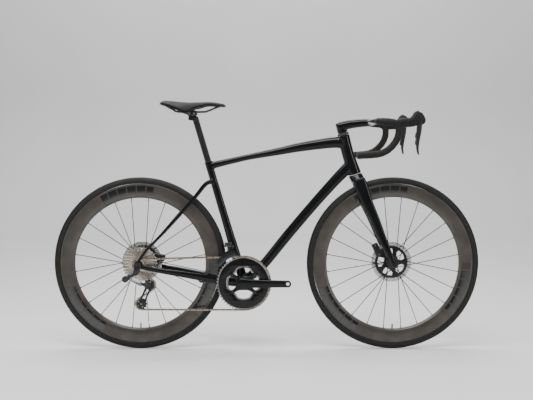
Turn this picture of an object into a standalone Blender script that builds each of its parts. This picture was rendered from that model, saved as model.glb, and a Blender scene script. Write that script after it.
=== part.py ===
"""Road bicycle with disc brakes, electronic derailleurs and a one-piece handlebar.

+X points forward, +Y to the rider's left, +Z up. The origin is on the ground, midway between the axles.
Lengths below are in millimetres; MM turns them into metres where a mesh is made.
"""

import math

import bmesh
import bpy
from mathutils import Matrix, Vector

MM = 0.001

# Driving dimensions
WHEELBASE = 998.0
WHEEL_RADIUS = 340.0
FRONT_RIM_INNER = 261.0
REAR_RIM_INNER = 258.0
RIM_OUTER = 315.0
WHEEL_STEPS = 32
MANIFOLD_SOLVED = ("frame",)
SPOKES = 24
HEAD_ANGLE = math.radians(73.4)
SEAT_ANGLE = math.radians(73.6)
BB_CENTRE = Vector((-89.6, 0.0, 265.6))
BB_HALF_WIDTH = 43.0
CRANK_LENGTH = 172.5
CHAIN_PITCH = 12.7
BIG_RING_TEETH = 52
SMALL_RING_TEETH = 36
SMALL_COG_TEETH = 11
PULLEY_TEETH = 11
BIG_RING_Y = -47.3
SMALL_RING_Y = -41.6
SMALL_COG_Y = -66.0
COG_SPACING = 3.58
COG_TEETH = (12, 13, 14, 15, 17, 19, 21, 24, 27, 30, 34)
COG_THICKNESS = 1.4
ROTOR_RADIUS = 80.0
FRONT_ROTOR_Y = 39.6
REAR_ROTOR_Y = 55.7
FRONT_DROPOUT_Y = 50.0
REAR_DROPOUT_Y = 71.0
AXLE_RADIUS = 6.0
GAP = 0.3

REAR_AXLE = Vector((-WHEELBASE / 2, 0.0, WHEEL_RADIUS))
FRONT_AXLE = Vector((WHEELBASE / 2, 0.0, WHEEL_RADIUS))
STEER_UP = Vector((-math.cos(HEAD_ANGLE), 0.0, math.sin(HEAD_ANGLE)))
SEAT_UP = Vector((-math.cos(SEAT_ANGLE), 0.0, math.sin(SEAT_ANGLE)))
STEER_POINT = Vector((300.0, 0.0, 854.0))
GUIDE_PULLEY = Vector((-455.0, SMALL_COG_Y, 262.0))
TENSION_PULLEY = Vector((-488.0, SMALL_COG_Y, 188.0))
SIDE = Vector((0.0, 1.0, 0.0))

for leftover in list(bpy.data.objects):
    bpy.data.objects.remove(leftover)

PARTS = bpy.data.collections.new("road_bicycle")
CUTTERS = bpy.data.collections.new("cutters")
bpy.context.scene.collection.children.link(PARTS)
bpy.context.scene.collection.children.link(CUTTERS)
CUTTERS.hide_render = True

COLOURS = {
    "gloss_black": ((0.012, 0.012, 0.014), 0.0, 0.12),
    "satin_carbon": ((0.035, 0.032, 0.03), 0.0, 0.35),
    "matt_black": ((0.03, 0.03, 0.032), 0.0, 0.6),
    "tyre": ((0.02, 0.02, 0.02), 0.0, 0.8),
    "rubber": ((0.025, 0.025, 0.025), 0.0, 0.75),
    "bar_tape": ((0.05, 0.04, 0.035), 0.0, 0.8),
    "saddle_cover": ((0.02, 0.02, 0.022), 0.0, 0.45),
    "steel": ((0.55, 0.55, 0.56), 1.0, 0.3),
    "dark_steel": ((0.18, 0.17, 0.16), 1.0, 0.35),
    "dark_alloy": ((0.09, 0.09, 0.095), 1.0, 0.35),
}


def material_for(name, slot):
    colour, metallic, roughness = COLOURS[slot]
    material = bpy.data.materials.new(name)
    material.use_nodes = True
    shader = material.node_tree.nodes["Principled BSDF"]
    shader.inputs["Base Color"].default_value = (*colour, 1.0)
    shader.inputs["Metallic"].default_value = metallic
    shader.inputs["Roughness"].default_value = roughness
    return material


def place(name, mesh, slot=None):
    """Puts a mesh in the scene: as a part when it has a slot, and as a cutter when it has none."""
    obj = bpy.data.objects.new(name, mesh)
    if slot:
        PARTS.objects.link(obj)
        mesh.materials.append(material_for(name, slot))
    else:
        CUTTERS.objects.link(obj)
        obj.hide_render = True
        obj.display_type = "WIRE"
    return obj


def finish_mesh(bm, name):
    bmesh.ops.recalc_face_normals(bm, faces=bm.faces)
    mesh = bpy.data.meshes.new(name)
    bm.to_mesh(mesh)
    bm.free()
    for face in mesh.polygons:
        face.use_smooth = len(face.vertices) == 4
    return mesh


def skin_rings(bm, rings, closed=False):
    """Joins rings of points in order; the ends are capped unless the row of rings is a loop."""
    loops = [[bm.verts.new(Vector(point) * MM) for point in ring] for ring in rings]
    pairs = list(zip(loops, loops[1:]))
    if closed:
        pairs.append((loops[-1], loops[0]))
    for first, second in pairs:
        for i in range(len(first)):
            j = (i + 1) % len(first)
            bm.faces.new((first[i], first[j], second[j], second[i]))
    if not closed:
        bm.faces.new(list(reversed(loops[0])))
        bm.faces.new(loops[-1])
    return loops


def loft(name, rings, slot=None, closed=False):
    bm = bmesh.new()
    skin_rings(bm, rings, closed)
    return place(name, finish_mesh(bm, name), slot)


def oval(centre, along, half_side, half_depth, count=12, power=2.0, side=SIDE):
    """A ring across a direction: half_side runs along the side vector, half_depth across it."""
    along = Vector(along).normalized()
    side = (side - along * side.dot(along)).normalized()
    depth = along.cross(side)
    points = []
    for k in range(count):
        angle = 2 * math.pi * (k + 0.5) / count
        c = math.cos(angle)
        s = math.sin(angle)
        across = math.copysign(abs(c) ** (2 / power), c) * half_side
        deep = math.copysign(abs(s) ** (2 / power), s) * half_depth
        points.append(Vector(centre) + side * across + depth * deep)
    return points


def tube_rings(stations, count=12, power=2.0, side=SIDE):
    """Rings for stations (x, y, z, half_side, half_depth), each square to the line through its neighbours."""
    centres = [Vector(station[:3]) for station in stations]
    rings = []
    for i, station in enumerate(stations):
        before = centres[max(i - 1, 0)]
        after = centres[min(i + 1, len(centres) - 1)]
        rings.append(oval(centres[i], after - before, station[3], station[4], count, power, side))
    return rings


def tube(name, stations, slot=None, count=12, power=2.0, side=SIDE):
    return loft(name, tube_rings(stations, count, power, side), slot)


def mirrored(stations):
    return [(s[0], -s[1], *s[2:]) for s in stations]


def basis(direction):
    """A rotation that takes +Z to this direction."""
    return Vector((0, 0, 1)).rotation_difference(Vector(direction).normalized()).to_matrix().to_4x4()


def cylinder(name, start, end, radius, slot=None, segments=20, end_radius=None):
    start = Vector(start) * MM
    end = Vector(end) * MM
    bm = bmesh.new()
    bmesh.ops.create_cone(
        bm,
        cap_ends=True,
        segments=segments,
        radius1=radius * MM,
        radius2=(end_radius or radius) * MM,
        depth=(end - start).length,
        matrix=Matrix.Translation((start + end) / 2) @ basis(end - start),
    )
    return place(name, finish_mesh(bm, name), slot)


def block(name, centre, size, slot=None, along=(1, 0, 0), bevel=0.0):
    """A box whose first side lies along a direction in the XZ plane, and whose second lies along Y."""
    along = Vector(along).normalized()
    up = along.cross(SIDE)
    turn = Matrix((along, SIDE, up)).transposed().to_4x4()
    bm = bmesh.new()
    scale = Matrix.Diagonal((size[0] * MM, size[1] * MM, size[2] * MM, 1.0))
    bmesh.ops.create_cube(bm, size=1.0, matrix=Matrix.Translation(Vector(centre) * MM) @ turn @ scale)
    obj = place(name, finish_mesh(bm, name), slot)
    if bevel:
        modifier = obj.modifiers.new("edges", "BEVEL")
        modifier.width = bevel * MM
        modifier.segments = 1
    return obj


def turned(name, profile, centre, slot=None, steps=24, axis=SIDE):
    """A profile of (radius, distance along the axis), taken round the axis as a closed outline."""
    bm = bmesh.new()
    points = [bm.verts.new((radius * MM, 0.0, height * MM)) for radius, height in profile]
    for i, point in enumerate(points):
        bm.edges.new((point, points[(i + 1) % len(points)]))
    mesh = bpy.data.meshes.new(name)
    bm.to_mesh(mesh)
    bm.free()
    obj = place(name, mesh, slot)
    obj.matrix_world = Matrix.Translation(Vector(centre) * MM) @ basis(axis)
    screw = obj.modifiers.new("turn", "SCREW")
    screw.steps = steps
    screw.render_steps = steps
    screw.use_merge_vertices = True
    screw.merge_threshold = 0.00001
    screw.use_smooth_shade = True
    area = sum(a[0] * b[1] - b[0] * a[1] for a, b in zip(profile, profile[1:] + profile[:1]))
    screw.use_normal_flip = area > 0
    return obj


def plate(name, outlines, y_centre, thickness, slot=None):
    """A flat plate across Y from outlines of (x, z); outlines after the first are holes."""
    curve = bpy.data.curves.new(name, "CURVE")
    curve.dimensions = "2D"
    curve.fill_mode = "BOTH"
    curve.extrude = thickness / 2 * MM
    for outline in outlines:
        spline = curve.splines.new("POLY")
        spline.points.add(len(outline) - 1)
        for point, (x, z) in zip(spline.points, outline):
            point.co = (x * MM, z * MM, 0.0, 1.0)
        spline.use_cyclic_u = True
    flat = bpy.data.objects.new(name + "_outline", curve)
    CUTTERS.objects.link(flat)
    bpy.context.view_layer.update()
    graph = bpy.context.evaluated_depsgraph_get()
    made = bpy.data.meshes.new_from_object(flat.evaluated_get(graph))
    bm = bmesh.new()
    bm.from_mesh(made)
    bmesh.ops.remove_doubles(bm, verts=bm.verts, dist=0.000001)
    lay = Matrix.Translation((0, y_centre * MM, 0)) @ Matrix.Rotation(math.pi / 2, 4, "X")
    bmesh.ops.transform(bm, matrix=lay, verts=bm.verts)
    bmesh.ops.recalc_face_normals(bm, faces=bm.faces)
    mesh = bpy.data.meshes.new(name)
    bm.to_mesh(mesh)
    bm.free()
    bpy.data.objects.remove(flat)
    bpy.data.meshes.remove(made)
    return place(name, mesh, slot)


def wire(name, points, radius, slot=None, sides=8):
    """A round bar through these points."""
    stations = [(*point, radius, radius) for point in points]
    return tube(name, stations, slot, sides, 2.0, Vector((0.1, 0.2, 1.0)))


def boolean(obj, other, operation):
    modifier = obj.modifiers.new(other.name, "BOOLEAN")
    modifier.operation = operation
    modifier.solver = "MANIFOLD" if obj.name in MANIFOLD_SOLVED else "EXACT"
    modifier.object = other
    return obj


def join(obj, *others):
    for other in others:
        boolean(obj, other, "UNION")
    return obj


def cut(obj, *others):
    for other in others:
        boolean(obj, other, "DIFFERENCE")
    return obj


def circle(centre, radius, count=24, start=0.0):
    return [
        (
            centre[0] + radius * math.cos(start + 2 * math.pi * k / count),
            centre[1] + radius * math.sin(start + 2 * math.pi * k / count),
        )
        for k in range(count)
    ]


def pitch_radius(teeth):
    return CHAIN_PITCH / 2 / math.sin(math.pi / teeth)


def toothed(centre, teeth, start=0.0):
    """A sprocket's outline: one low point between teeth and two points on each tip."""
    radius = pitch_radius(teeth)
    points = []
    for k in range(teeth):
        for part, out in ((0.0, -3.9), (0.4, 2.9), (0.6, 2.9)):
            angle = start + 2 * math.pi * (k + part) / teeth
            points.append(
                (centre[0] + (radius + out) * math.cos(angle), centre[1] + (radius + out) * math.sin(angle))
            )
    return points


def at_steer(height):
    return STEER_POINT + STEER_UP * ((height - STEER_POINT.z) / STEER_UP.z)


def at_seat(height):
    return BB_CENTRE + SEAT_UP * ((height - BB_CENTRE.z) / SEAT_UP.z)


def xz(vector):
    return (vector.x, vector.z)


# Frame: tubes joined into one shell, then bored for the headset, seatpost, bottom bracket and axle
frame = loft(
    "frame",
    [
        oval(at_steer(z) + Vector((back, 0, 0)), STEER_UP, side, depth, 16)
        for z, side, depth, back in (
            (692, 27, 26, 0),
            (706, 26, 26, -1),
            (738, 21.5, 25, -3),
            (768, 20, 24, -4),
            (802, 20.5, 24, -3),
            (830, 23, 23.5, -1),
            (844, 23.5, 23.5, 0),
        )
    ],
    "gloss_black",
)
down_tube = tube(
    "down_tube",
    [
        (-78, 0, 278, 26, 20),
        (-15.6, 0, 329.7, 24, 19.5),
        (85, 0, 455, 21, 18.5),
        (185.3, 0, 574, 19, 18),
        (263, 0, 661.5, 18.5, 19),
        (322, 0, 722, 17, 26),
    ],
    power=2.6,
)
top_tube = tube(
    "top_tube",
    [
        (-222, 0, 724, 12, 14),
        (-180, 0, 734.6, 14, 13),
        (-65, 0, 760.5, 15, 12.4),
        (53, 0, 782.6, 16, 15.5),
        (131.8, 0, 798.2, 17, 18.2),
        (250, 0, 815.4, 18.5, 21.8),
        (302, 0, 816, 18, 22.8),
    ],
    power=2.6,
)
seat_tube = loft(
    "seat_tube",
    [
        oval(at_seat(z), SEAT_UP, side, depth, 14)
        for z, side, depth in (
            (262, 18, 19),
            (373, 15, 18.5),
            (495, 13.8, 16.2),
            (598, 13, 15.5),
            (669, 13, 15),
            (742, 13.2, 15.4),
        )
    ],
)
bb_shell = cylinder("bb_shell", (-89.6, -BB_HALF_WIDTH, 265.6), (-89.6, BB_HALF_WIDTH, 265.6), 24.5)
join(frame, down_tube, top_tube, seat_tube, bb_shell)

CHAINSTAY = [
    (-100, -27, 268, 9, 19),
    (-155, -28, 270, 8, 17),
    (-200, -31, 277, 8, 15),
    (-336, -55, 303, 7, 12),
    (-413, -67, 317, 6.5, 10),
    (-478, -75.3, 331, 3.7, 9),
    (-499, -75.3, 338, 3.7, 9),
]
SEATSTAY = [
    (-204, -8, 662, 6, 12),
    (-226, -14, 661, 6.5, 9.5),
    (-246, -19, 646, 6, 8.5),
    (-281, -27, 602, 5.5, 7.5),
    (-338, -40, 536, 5, 6.5),
    (-415, -58, 452, 4.5, 5.5),
    (-455, -68, 411, 4.5, 5),
    (-490, -75.2, 366, 3.7, 5.5),
    (-499, -75.2, 346, 3.7, 6),
]
for side_name, flip in (("right", 1), ("left", -1)):
    for stay_name, stations in (("chainstay", CHAINSTAY), ("seatstay", SEATSTAY)):
        run = stations if flip == 1 else mirrored(stations)
        join(frame, tube(f"{stay_name}_{side_name}", run, count=10))
    join(
        frame,
        cylinder(
            f"dropout_{side_name}",
            (REAR_AXLE.x, -flip * REAR_DROPOUT_Y, REAR_AXLE.z),
            (REAR_AXLE.x, -flip * (REAR_DROPOUT_Y + 8), REAR_AXLE.z),
            15,
            segments=16,
        ),
    )
cut(
    frame,
    cylinder("bb_bore", (-89.6, -60, 265.6), (-89.6, 60, 265.6), 20.5, segments=20),
    cylinder("steerer_bore", at_steer(680), at_steer(860), 17.6, segments=16),
    cylinder("lower_bearing_seat", at_steer(680), at_steer(703), 23.7, segments=20),
    cylinder("upper_bearing_seat", at_steer(835), at_steer(860), 21.2, segments=20),
    loft("post_bore", [oval(at_seat(z), SEAT_UP, 9.5, 13.0, 14) for z in (570, 760)]),
    cylinder("rear_axle_bore", (-499, -90, 340), (-499, 90, 340), AXLE_RADIUS + GAP, segments=12),
    block("wedge_pocket", at_seat(722) + Vector((22.5, 0, 5)), (17.6, 9, 12.6)),
)
block("seat_clamp_wedge", at_seat(722) + Vector((22.5, 0, 5)), (16.6, 8.2, 11.8), "dark_alloy", bevel=1.0)


# Headset
def ring_part(name, inner, outer, low, high, slot, steps=20, axis=SIDE, centre=(0, 0, 0)):
    return turned(
        name, [(inner, low), (inner, high), (outer, high), (outer, low)], centre, slot, steps, axis
    )


ring_part("headset_bearing_lower", 17.7, 23.3, 0, 7, "steel", axis=STEER_UP, centre=at_steer(694.5))
ring_part("headset_bearing_upper", 14.7, 20.8, 0, 6.5, "steel", axis=STEER_UP, centre=at_steer(836))
loft(
    "headset_cover",
    [
        oval(at_steer(z) + Vector((back, 0, 0)), STEER_UP, side, depth, 16)
        for z, side, depth, back in ((844.4, 23, 23, 0), (849, 21, 22.5, 0), (853.4, 20.5, 21.5, 0))
    ],
    "matt_black",
)
headset_cover = bpy.data.objects["headset_cover"]
cut(headset_cover, cylinder("cover_bore", at_steer(835), at_steer(880), 14.7, segments=16))

# Bottom bracket cups, each a bearing ring with a flange
for side_name, flip in (("right", -1), ("left", 1)):
    turned(
        f"bottom_bracket_{side_name}",
        [(12.4, 33), (12.4, 44.6), (22.5, 44.6), (22.5, 43.3), (20.2, 43.3), (20.2, 33)],
        BB_CENTRE,
        "dark_alloy",
        20,
        SIDE * flip,
    )

# Fork: crown, two legs and the steerer, with an arch for the tyre
FORK_LEG = [
    (362, -29, 672, 13, 24),
    (371.5, -35, 643, 12.5, 26),
    (392, -40, 585, 11, 23.2),
    (423, -45, 515, 9.5, 19.8),
    (449.4, -50, 449, 8.5, 17),
    (467.7, -53.5, 406, 7.5, 14.5),
    (487, -56, 362, 6, 11.5),
    (497, -56, 338, 6, 9.5),
    (500, -56, 331, 4.5, 6),
]
fork = loft(
    "fork",
    [
        oval(at_steer(z) + Vector((ahead, 0, 0)), STEER_UP, side, depth, 16, 2.4)
        for z, side, depth, ahead in ((690.8, 27, 26, 0), (680, 34, 28, 2), (664, 42, 28, 5))
    ],
    "gloss_black",
)
join(fork, tube("fork_leg_right", FORK_LEG, count=12), tube("fork_leg_left", mirrored(FORK_LEG), count=12))
for side_name, flip in (("right", -1), ("left", 1)):
    join(
        fork,
        cylinder(
            f"fork_end_{side_name}",
            (499, flip * FRONT_DROPOUT_Y, 340),
            (499, flip * 62, 340),
            11,
            segments=14,
        ),
    )
cut(
    fork,
    cylinder("tyre_arch", (499, -20, 340), (499, 20, 340), 348, segments=48),
    cylinder("front_axle_bore", (499, -80, 340), (499, 80, 340), AXLE_RADIUS + GAP, segments=12),
)
join(
    fork,
    cylinder("steerer_base", at_steer(685), at_steer(712), 17, segments=16),
    cylinder("steerer", at_steer(700), at_steer(893), 14.3, segments=16),
)
cut(fork, cylinder("steerer_hollow", at_steer(720), at_steer(910), 11.5, segments=12))
cylinder("steerer_plug", at_steer(840), at_steer(892.5), 11.1, "dark_alloy", 12)

# Handlebar: stem and aero bar in one piece
STEM = [
    (276, 0, 873, 15, 13),
    (283, 0, 876, 19.5, 18.5),
    (300, 0, 881, 20.5, 19),
    (329, 0, 887.5, 19, 17.5),
    (368, 0, 892, 18, 16.2),
    (400, 0, 894, 22, 15),
    (424, 0, 895.5, 22, 11),
    (431, 0, 895.5, 18, 7),
]
BAR = [
    (411, 0, 895, 17, 12),
    (409, 40, 895.5, 18.5, 10.5),
    (406, 90, 896, 19, 10),
    (410, 130, 896, 17, 10),
    (421, 163, 895, 13.5, 10.5),
    (443, 186, 893.5, 11, 11),
    (468, 196, 891, 11, 11),
    (486, 199, 884, 11, 11),
    (493, 200, 868, 11, 11),
    (492, 201, 845, 11, 11),
    (483, 202, 821, 11, 11),
    (467, 203, 800, 11, 11),
    (448, 204, 784, 11, 11),
    (424, 205, 773.5, 11, 11),
    (394, 206, 769, 11, 11),
    (340, 208, 766, 11, 11),
]

handlebar = tube("handlebar", STEM, "gloss_black", 14, 2.5)
join(handlebar, cylinder("stem_boss", at_steer(854), at_steer(886), 19.6, segments=16))
TAPE_START = 4


def bar_rings(stations, grow, count=10):
    """Rings along one side of the bar. The side vector is carried from ring to ring, so they never twist."""
    centres = [Vector(s[:3]) for s in stations]
    side = Vector((1.0, 0.0, 0.0))
    rings = []
    for i, s in enumerate(stations):
        along = (centres[min(i + 1, len(centres) - 1)] - centres[max(i - 1, 0)]).normalized()
        side = (side - along * side.dot(along)).normalized()
        rings.append(oval(centres[i], along, s[3] + grow, s[4] + grow, count, 2.0, side))
    return rings


for side_name, flip in (("left", 1), ("right", -1)):
    half = BAR if flip == 1 else mirrored(BAR)
    join(handlebar, loft(f"bar_{side_name}", bar_rings(half, 0.0)))
    grip = bar_rings(half, 2.6)[TAPE_START:]
    core = bar_rings(half, 3 * GAP)[TAPE_START:]
    loft(f"bar_tape_{side_name}", grip + core[::-1], "bar_tape", closed=True)
    cylinder(
        f"bar_end_plug_{side_name}",
        (339.6, flip * 208, 766),
        (335.5, flip * 208.1, 765.8),
        13,
        "matt_black",
        14,
        end_radius=11,
    )
cut(handlebar, cylinder("stem_bore", at_steer(840), at_steer(893.4), 14.6, segments=16))

# Levers: hood, brake lever and two shift buttons on each side
HOOD = [
    (494, 199, 887, 15, 18),
    (520, 199.5, 888, 16, 18),
    (540, 199, 891, 15.5, 18.5),
    (555, 198.5, 898, 14.5, 22.5),
    (566, 198, 905, 13.5, 28.5),
    (577, 197.5, 908, 11.5, 28),
    (586, 197.5, 912, 7, 18),
    (589, 197.5, 914, 3, 8),
]
LEVER = [
    (570, 200, 874, 6, 5),
    (577, 200, 862, 7.5, 5.5),
    (573, 200, 846, 7, 4.5),
    (568, 200.5, 826, 6.5, 4),
    (564, 201, 800, 6.5, 4),
    (564, 201.5, 784, 6, 3.8),
    (568, 202, 770, 4.5, 3),
]
for side_name, flip in (("left", 1), ("right", -1)):
    hood_stations = HOOD if flip == 1 else mirrored(HOOD)
    half = BAR if flip == 1 else mirrored(BAR)
    hood = tube(f"lever_hood_{side_name}", hood_stations, "rubber", 14, 2.5)
    around = loft(f"hood_grip_{side_name}", bar_rings(half, 2.6 + GAP)[TAPE_START:])
    pocket = block(f"lever_pocket_{side_name}", (570, flip * 200, 868), (26, 17, 22))
    cut(hood, around, pocket)
    lever_stations = LEVER if flip == 1 else mirrored(LEVER)
    tube(f"brake_lever_{side_name}", lever_stations, "matt_black", 10)
    for button, top, bottom in (("up", 852, 831), ("down", 829.5, 806)):
        stations = [
            (561.0, flip * 203.5, top, 6, 2.4),
            (556.0, flip * 204.5, (top + bottom) / 2, 6.5, 2.4),
            (553.0, flip * 205.0, bottom, 5.5, 2.0),
        ]
        tube(f"shift_button_{button}_{side_name}", stations, "matt_black", 8)


# Wheels
def rim(name, axle, inner):
    half = [(inner, 4.5), (inner + 3, 8.5), (inner + 14, 12.3), (inner + 32, 14), (312, 13.4), (315, 12)]
    profile = half + [(r, -y) for r, y in reversed(half)]
    return turned(name, profile, axle, "satin_carbon", WHEEL_STEPS)


def tyre(name, axle):
    outer = [(315.4, 12.5), (322, 14.4), (331.5, 12.6), (337.8, 7.0), (340, 0)]
    inner = [(336.5, 0), (329.5, 9.4), (315.4, 9.5)]
    half = outer[:-1]
    profile = half + [outer[-1]] + [(r, -y) for r, y in reversed(half)]
    profile += [(r, -y) for r, y in reversed(inner[1:])] + [inner[0]] + inner[1:]
    return turned(name, profile, axle, "tyre", WHEEL_STEPS)


def spoke_fan(name, axle, flanges, rim_radius, hub_radius):
    """All of a wheel's spokes as one helper: half go to each flange, crossing in pairs."""
    bm = bmesh.new()
    for k in range(SPOKES):
        leans_back = (k // 2) % 2
        flange_y = flanges[k % 2] + (1.3 if leans_back else -1.3)
        rim_angle = 2 * math.pi * (k + 0.5) / SPOKES
        lean = math.radians(52) if leans_back else -math.radians(52)
        hub_angle = rim_angle + lean
        start = Vector((hub_radius * math.cos(hub_angle), flange_y, hub_radius * math.sin(hub_angle)))
        end = Vector((rim_radius * math.cos(rim_angle), flange_y * 0.1, rim_radius * math.sin(rim_angle)))
        rings = [oval(axle + point, end - start, 0.8, 1.6, 4) for point in (start, end)]
        skin_rings(bm, rings)
    return place(name, finish_mesh(bm, name))


FRONT_HUB = [
    (AXLE_RADIUS + GAP, -49.7),
    (9.5, -49.7),
    (10.5, -38),
    (20, -37),
    (20, -33),
    (12.5, -29),
    (12.5, 17),
    (22, 20.5),
    (22, 24.5),
    (17, 27),
    (17, 43),
    (10, 44),
    (9.5, 49.7),
    (AXLE_RADIUS + GAP, 49.7),
]
REAR_HUB = [
    (AXLE_RADIUS + GAP, -70.7),
    (8.6, -70.7),
    (8.6, -22),
    (25, -20.5),
    (25, -16.5),
    (15, -12),
    (14, 24),
    (23, 28),
    (23, 32.5),
    (17, 35),
    (17, 59),
    (10, 60),
    (9.5, 70.7),
    (AXLE_RADIUS + GAP, 70.7),
]
INNER_FLAT = math.cos(math.pi / WHEEL_STEPS)
for end_name, axle, inner, hub_profile, flanges, rotor_y in (
    ("front", FRONT_AXLE, FRONT_RIM_INNER, FRONT_HUB, (-35, 22.5), FRONT_ROTOR_Y),
    ("rear", REAR_AXLE, REAR_RIM_INNER, REAR_HUB, (-18.5, 30), REAR_ROTOR_Y),
):
    rim(f"{end_name}_rim", axle, inner)
    tyre(f"{end_name}_tyre", axle)
    hub = turned(f"{end_name}_hub_and_spokes", hub_profile, axle, "matt_black", 18)
    join(hub, spoke_fan(f"{end_name}_spokes", axle, flanges, inner * INNER_FLAT - 0.6, 18))
    windows = []
    for k in range(6):
        start = 2 * math.pi * k / 6
        angles = [start + math.radians(step) for step in (8, 24, 40, 52)]
        window = [(64, a) for a in angles] + [(26, a - 0.25) for a in reversed(angles[::3])]
        windows.append(
            [(axle.x + r * math.cos(a), axle.z + r * math.sin(a)) for r, a in window]
        )
    plate(
        f"{end_name}_brake_rotor",
        [circle(xz(axle), ROTOR_RADIUS, 36), circle(xz(axle), 17.4, 16), *windows],
        rotor_y,
        1.8,
        "steel",
    )
cylinder("front_thru_axle", (499, -61.5, 340), (499, 64, 340), AXLE_RADIUS, "dark_alloy", 12)
join(
    bpy.data.objects["front_thru_axle"],
    cylinder("front_axle_head", (499, 62.3, 340), (499, 66, 340), 8.5, segments=12),
)
cylinder("rear_thru_axle", (-499, -78.8, 340), (-499, 81, 340), AXLE_RADIUS, "dark_alloy", 12)
join(
    bpy.data.objects["rear_thru_axle"],
    cylinder("rear_axle_head", (-499, 79.3, 340), (-499, 83, 340), 8.5, segments=12),
)

# Freehub body and cassette
ring_part("freehub_body", 8.9, 16.8, -64, -22.6, "dark_alloy", 14, SIDE, REAR_AXLE)
cassette_profile = []
for index, teeth in enumerate(COG_TEETH):
    y = SMALL_COG_Y + COG_SPACING * (index + 1)
    tip = pitch_radius(teeth) + 1.6
    root = 19.0 if index < 1 else pitch_radius(COG_TEETH[index - 1]) - 6.5
    root = max(root, 20.4)
    low_face = y - COG_THICKNESS / 2
    cassette_profile += [(root, low_face), (tip, low_face), (tip, low_face + COG_THICKNESS)]
cassette_profile += [(17.2, cassette_profile[-1][1]), (17.2, SMALL_COG_Y - 0.4), (18.1, SMALL_COG_Y - 0.4)]
cassette_profile += [(18.1, SMALL_COG_Y + COG_SPACING - COG_THICKNESS / 2 - 0.2)]
cassette = turned("cassette", cassette_profile, REAR_AXLE, "steel", 18)
join(
    cassette,
    plate(
        "small_cog",
        [toothed(xz(REAR_AXLE), SMALL_COG_TEETH), circle(xz(REAR_AXLE), 17.9, 20)],
        SMALL_COG_Y,
        COG_THICKNESS,
    ),
)


# Chain: two rows of side plates on the line through both rings and both pulleys
def belt_tangent(first, second):
    """Where a straight run leaves one wheel and meets the next. Turn is +1 anticlockwise, -1 clockwise."""
    gap = Vector((second[0] - first[0], second[1] - first[1]))
    lean = math.asin((second[3] * second[2] - first[3] * first[2]) / gap.length)
    heading = math.atan2(gap.y, gap.x) - lean
    normal = Vector((-math.sin(heading), math.cos(heading)))
    leave = Vector(first[:2]) - normal * first[3] * first[2]
    meet = Vector(second[:2]) - normal * second[3] * second[2]
    return leave, meet


WHEELS = [
    (*xz(BB_CENTRE), pitch_radius(BIG_RING_TEETH), -1, BIG_RING_Y),
    (*xz(TENSION_PULLEY), pitch_radius(PULLEY_TEETH), -1, SMALL_COG_Y),
    (*xz(GUIDE_PULLEY), pitch_radius(PULLEY_TEETH), 1, SMALL_COG_Y),
    (*xz(REAR_AXLE), pitch_radius(SMALL_COG_TEETH), -1, SMALL_COG_Y),
]
RUNS = [belt_tangent(WHEELS[i], WHEELS[(i + 1) % 4]) for i in range(4)]


def chain_path():
    """Points (x, y, z) round the chain, with a straight lead of one flat length off each wheel."""
    path = []
    for i, (leave, meet) in enumerate(RUNS):
        here = WHEELS[i]
        there = WHEELS[(i + 1) % 4]
        reach = (meet - leave).length
        if here[4] != there[4]:
            for share in (0.0, (44 if i == 0 else 22) / reach, 1 - (22 if i == 0 else 44) / reach):
                y = here[4] if share < 0.5 else there[4]
                spot = leave.lerp(meet, share)
                path.append((spot.x, y, spot.y))
        else:
            path.append((leave.x, here[4], leave.y))
        hub = Vector(there[:2])
        start = math.atan2(meet.y - hub.y, meet.x - hub.x)
        onward = RUNS[(i + 1) % 4][0]
        stop = math.atan2(onward.y - hub.y, onward.x - hub.x)
        sweep = ((stop - start) * there[3]) % (2 * math.pi)
        steps = max(4, round(math.degrees(sweep) / (12 if there[2] > 50 else 24)))
        for k in range(steps):
            angle = start + there[3] * sweep * k / steps
            path.append((hub.x + there[2] * math.cos(angle), there[4], hub.y + there[2] * math.sin(angle)))
    return [Vector(point) for point in path]


path = chain_path()
bands = []
for low, high in ((-2.6, -1.3), (1.3, 2.6)):
    rings = []
    for i, point in enumerate(path):
        along = path[(i + 1) % len(path)] - path[i - 1]
        across = Vector((-along.z, 0, along.x)).normalized() * 3.6
        rings.append(
            [
                point + across + SIDE * low,
                point + across + SIDE * high,
                point - across + SIDE * high,
                point - across + SIDE * low,
            ]
        )
    bands.append(rings)
chain = loft("chain", bands[0], "dark_steel", closed=True)
join(chain, loft("chain_inner_row", bands[1], closed=True))
bm = bmesh.new()
for run, share in ((0, 0.3), (0, 0.5), (0, 0.7), (3, 0.3), (3, 0.5), (3, 0.7)):
    leave, meet = RUNS[run]
    spot = leave.lerp(meet, share)
    first = 44 if run == 0 else 22
    last = 22 if run == 0 else 44
    reach = (meet - leave).length
    slide = (share * reach - first) / (reach - first - last)
    y = WHEELS[run][4] + (WHEELS[(run + 1) % 4][4] - WHEELS[run][4]) * slide
    bmesh.ops.create_cone(
        bm,
        cap_ends=True,
        segments=8,
        radius1=2.6 * MM,
        radius2=2.6 * MM,
        depth=4.6 * MM,
        matrix=Matrix.Translation(Vector((spot.x, y, spot.y)) * MM) @ basis(SIDE),
    )
join(chain, place("chain_pins", finish_mesh(bm, "chain_pins")))

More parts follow.
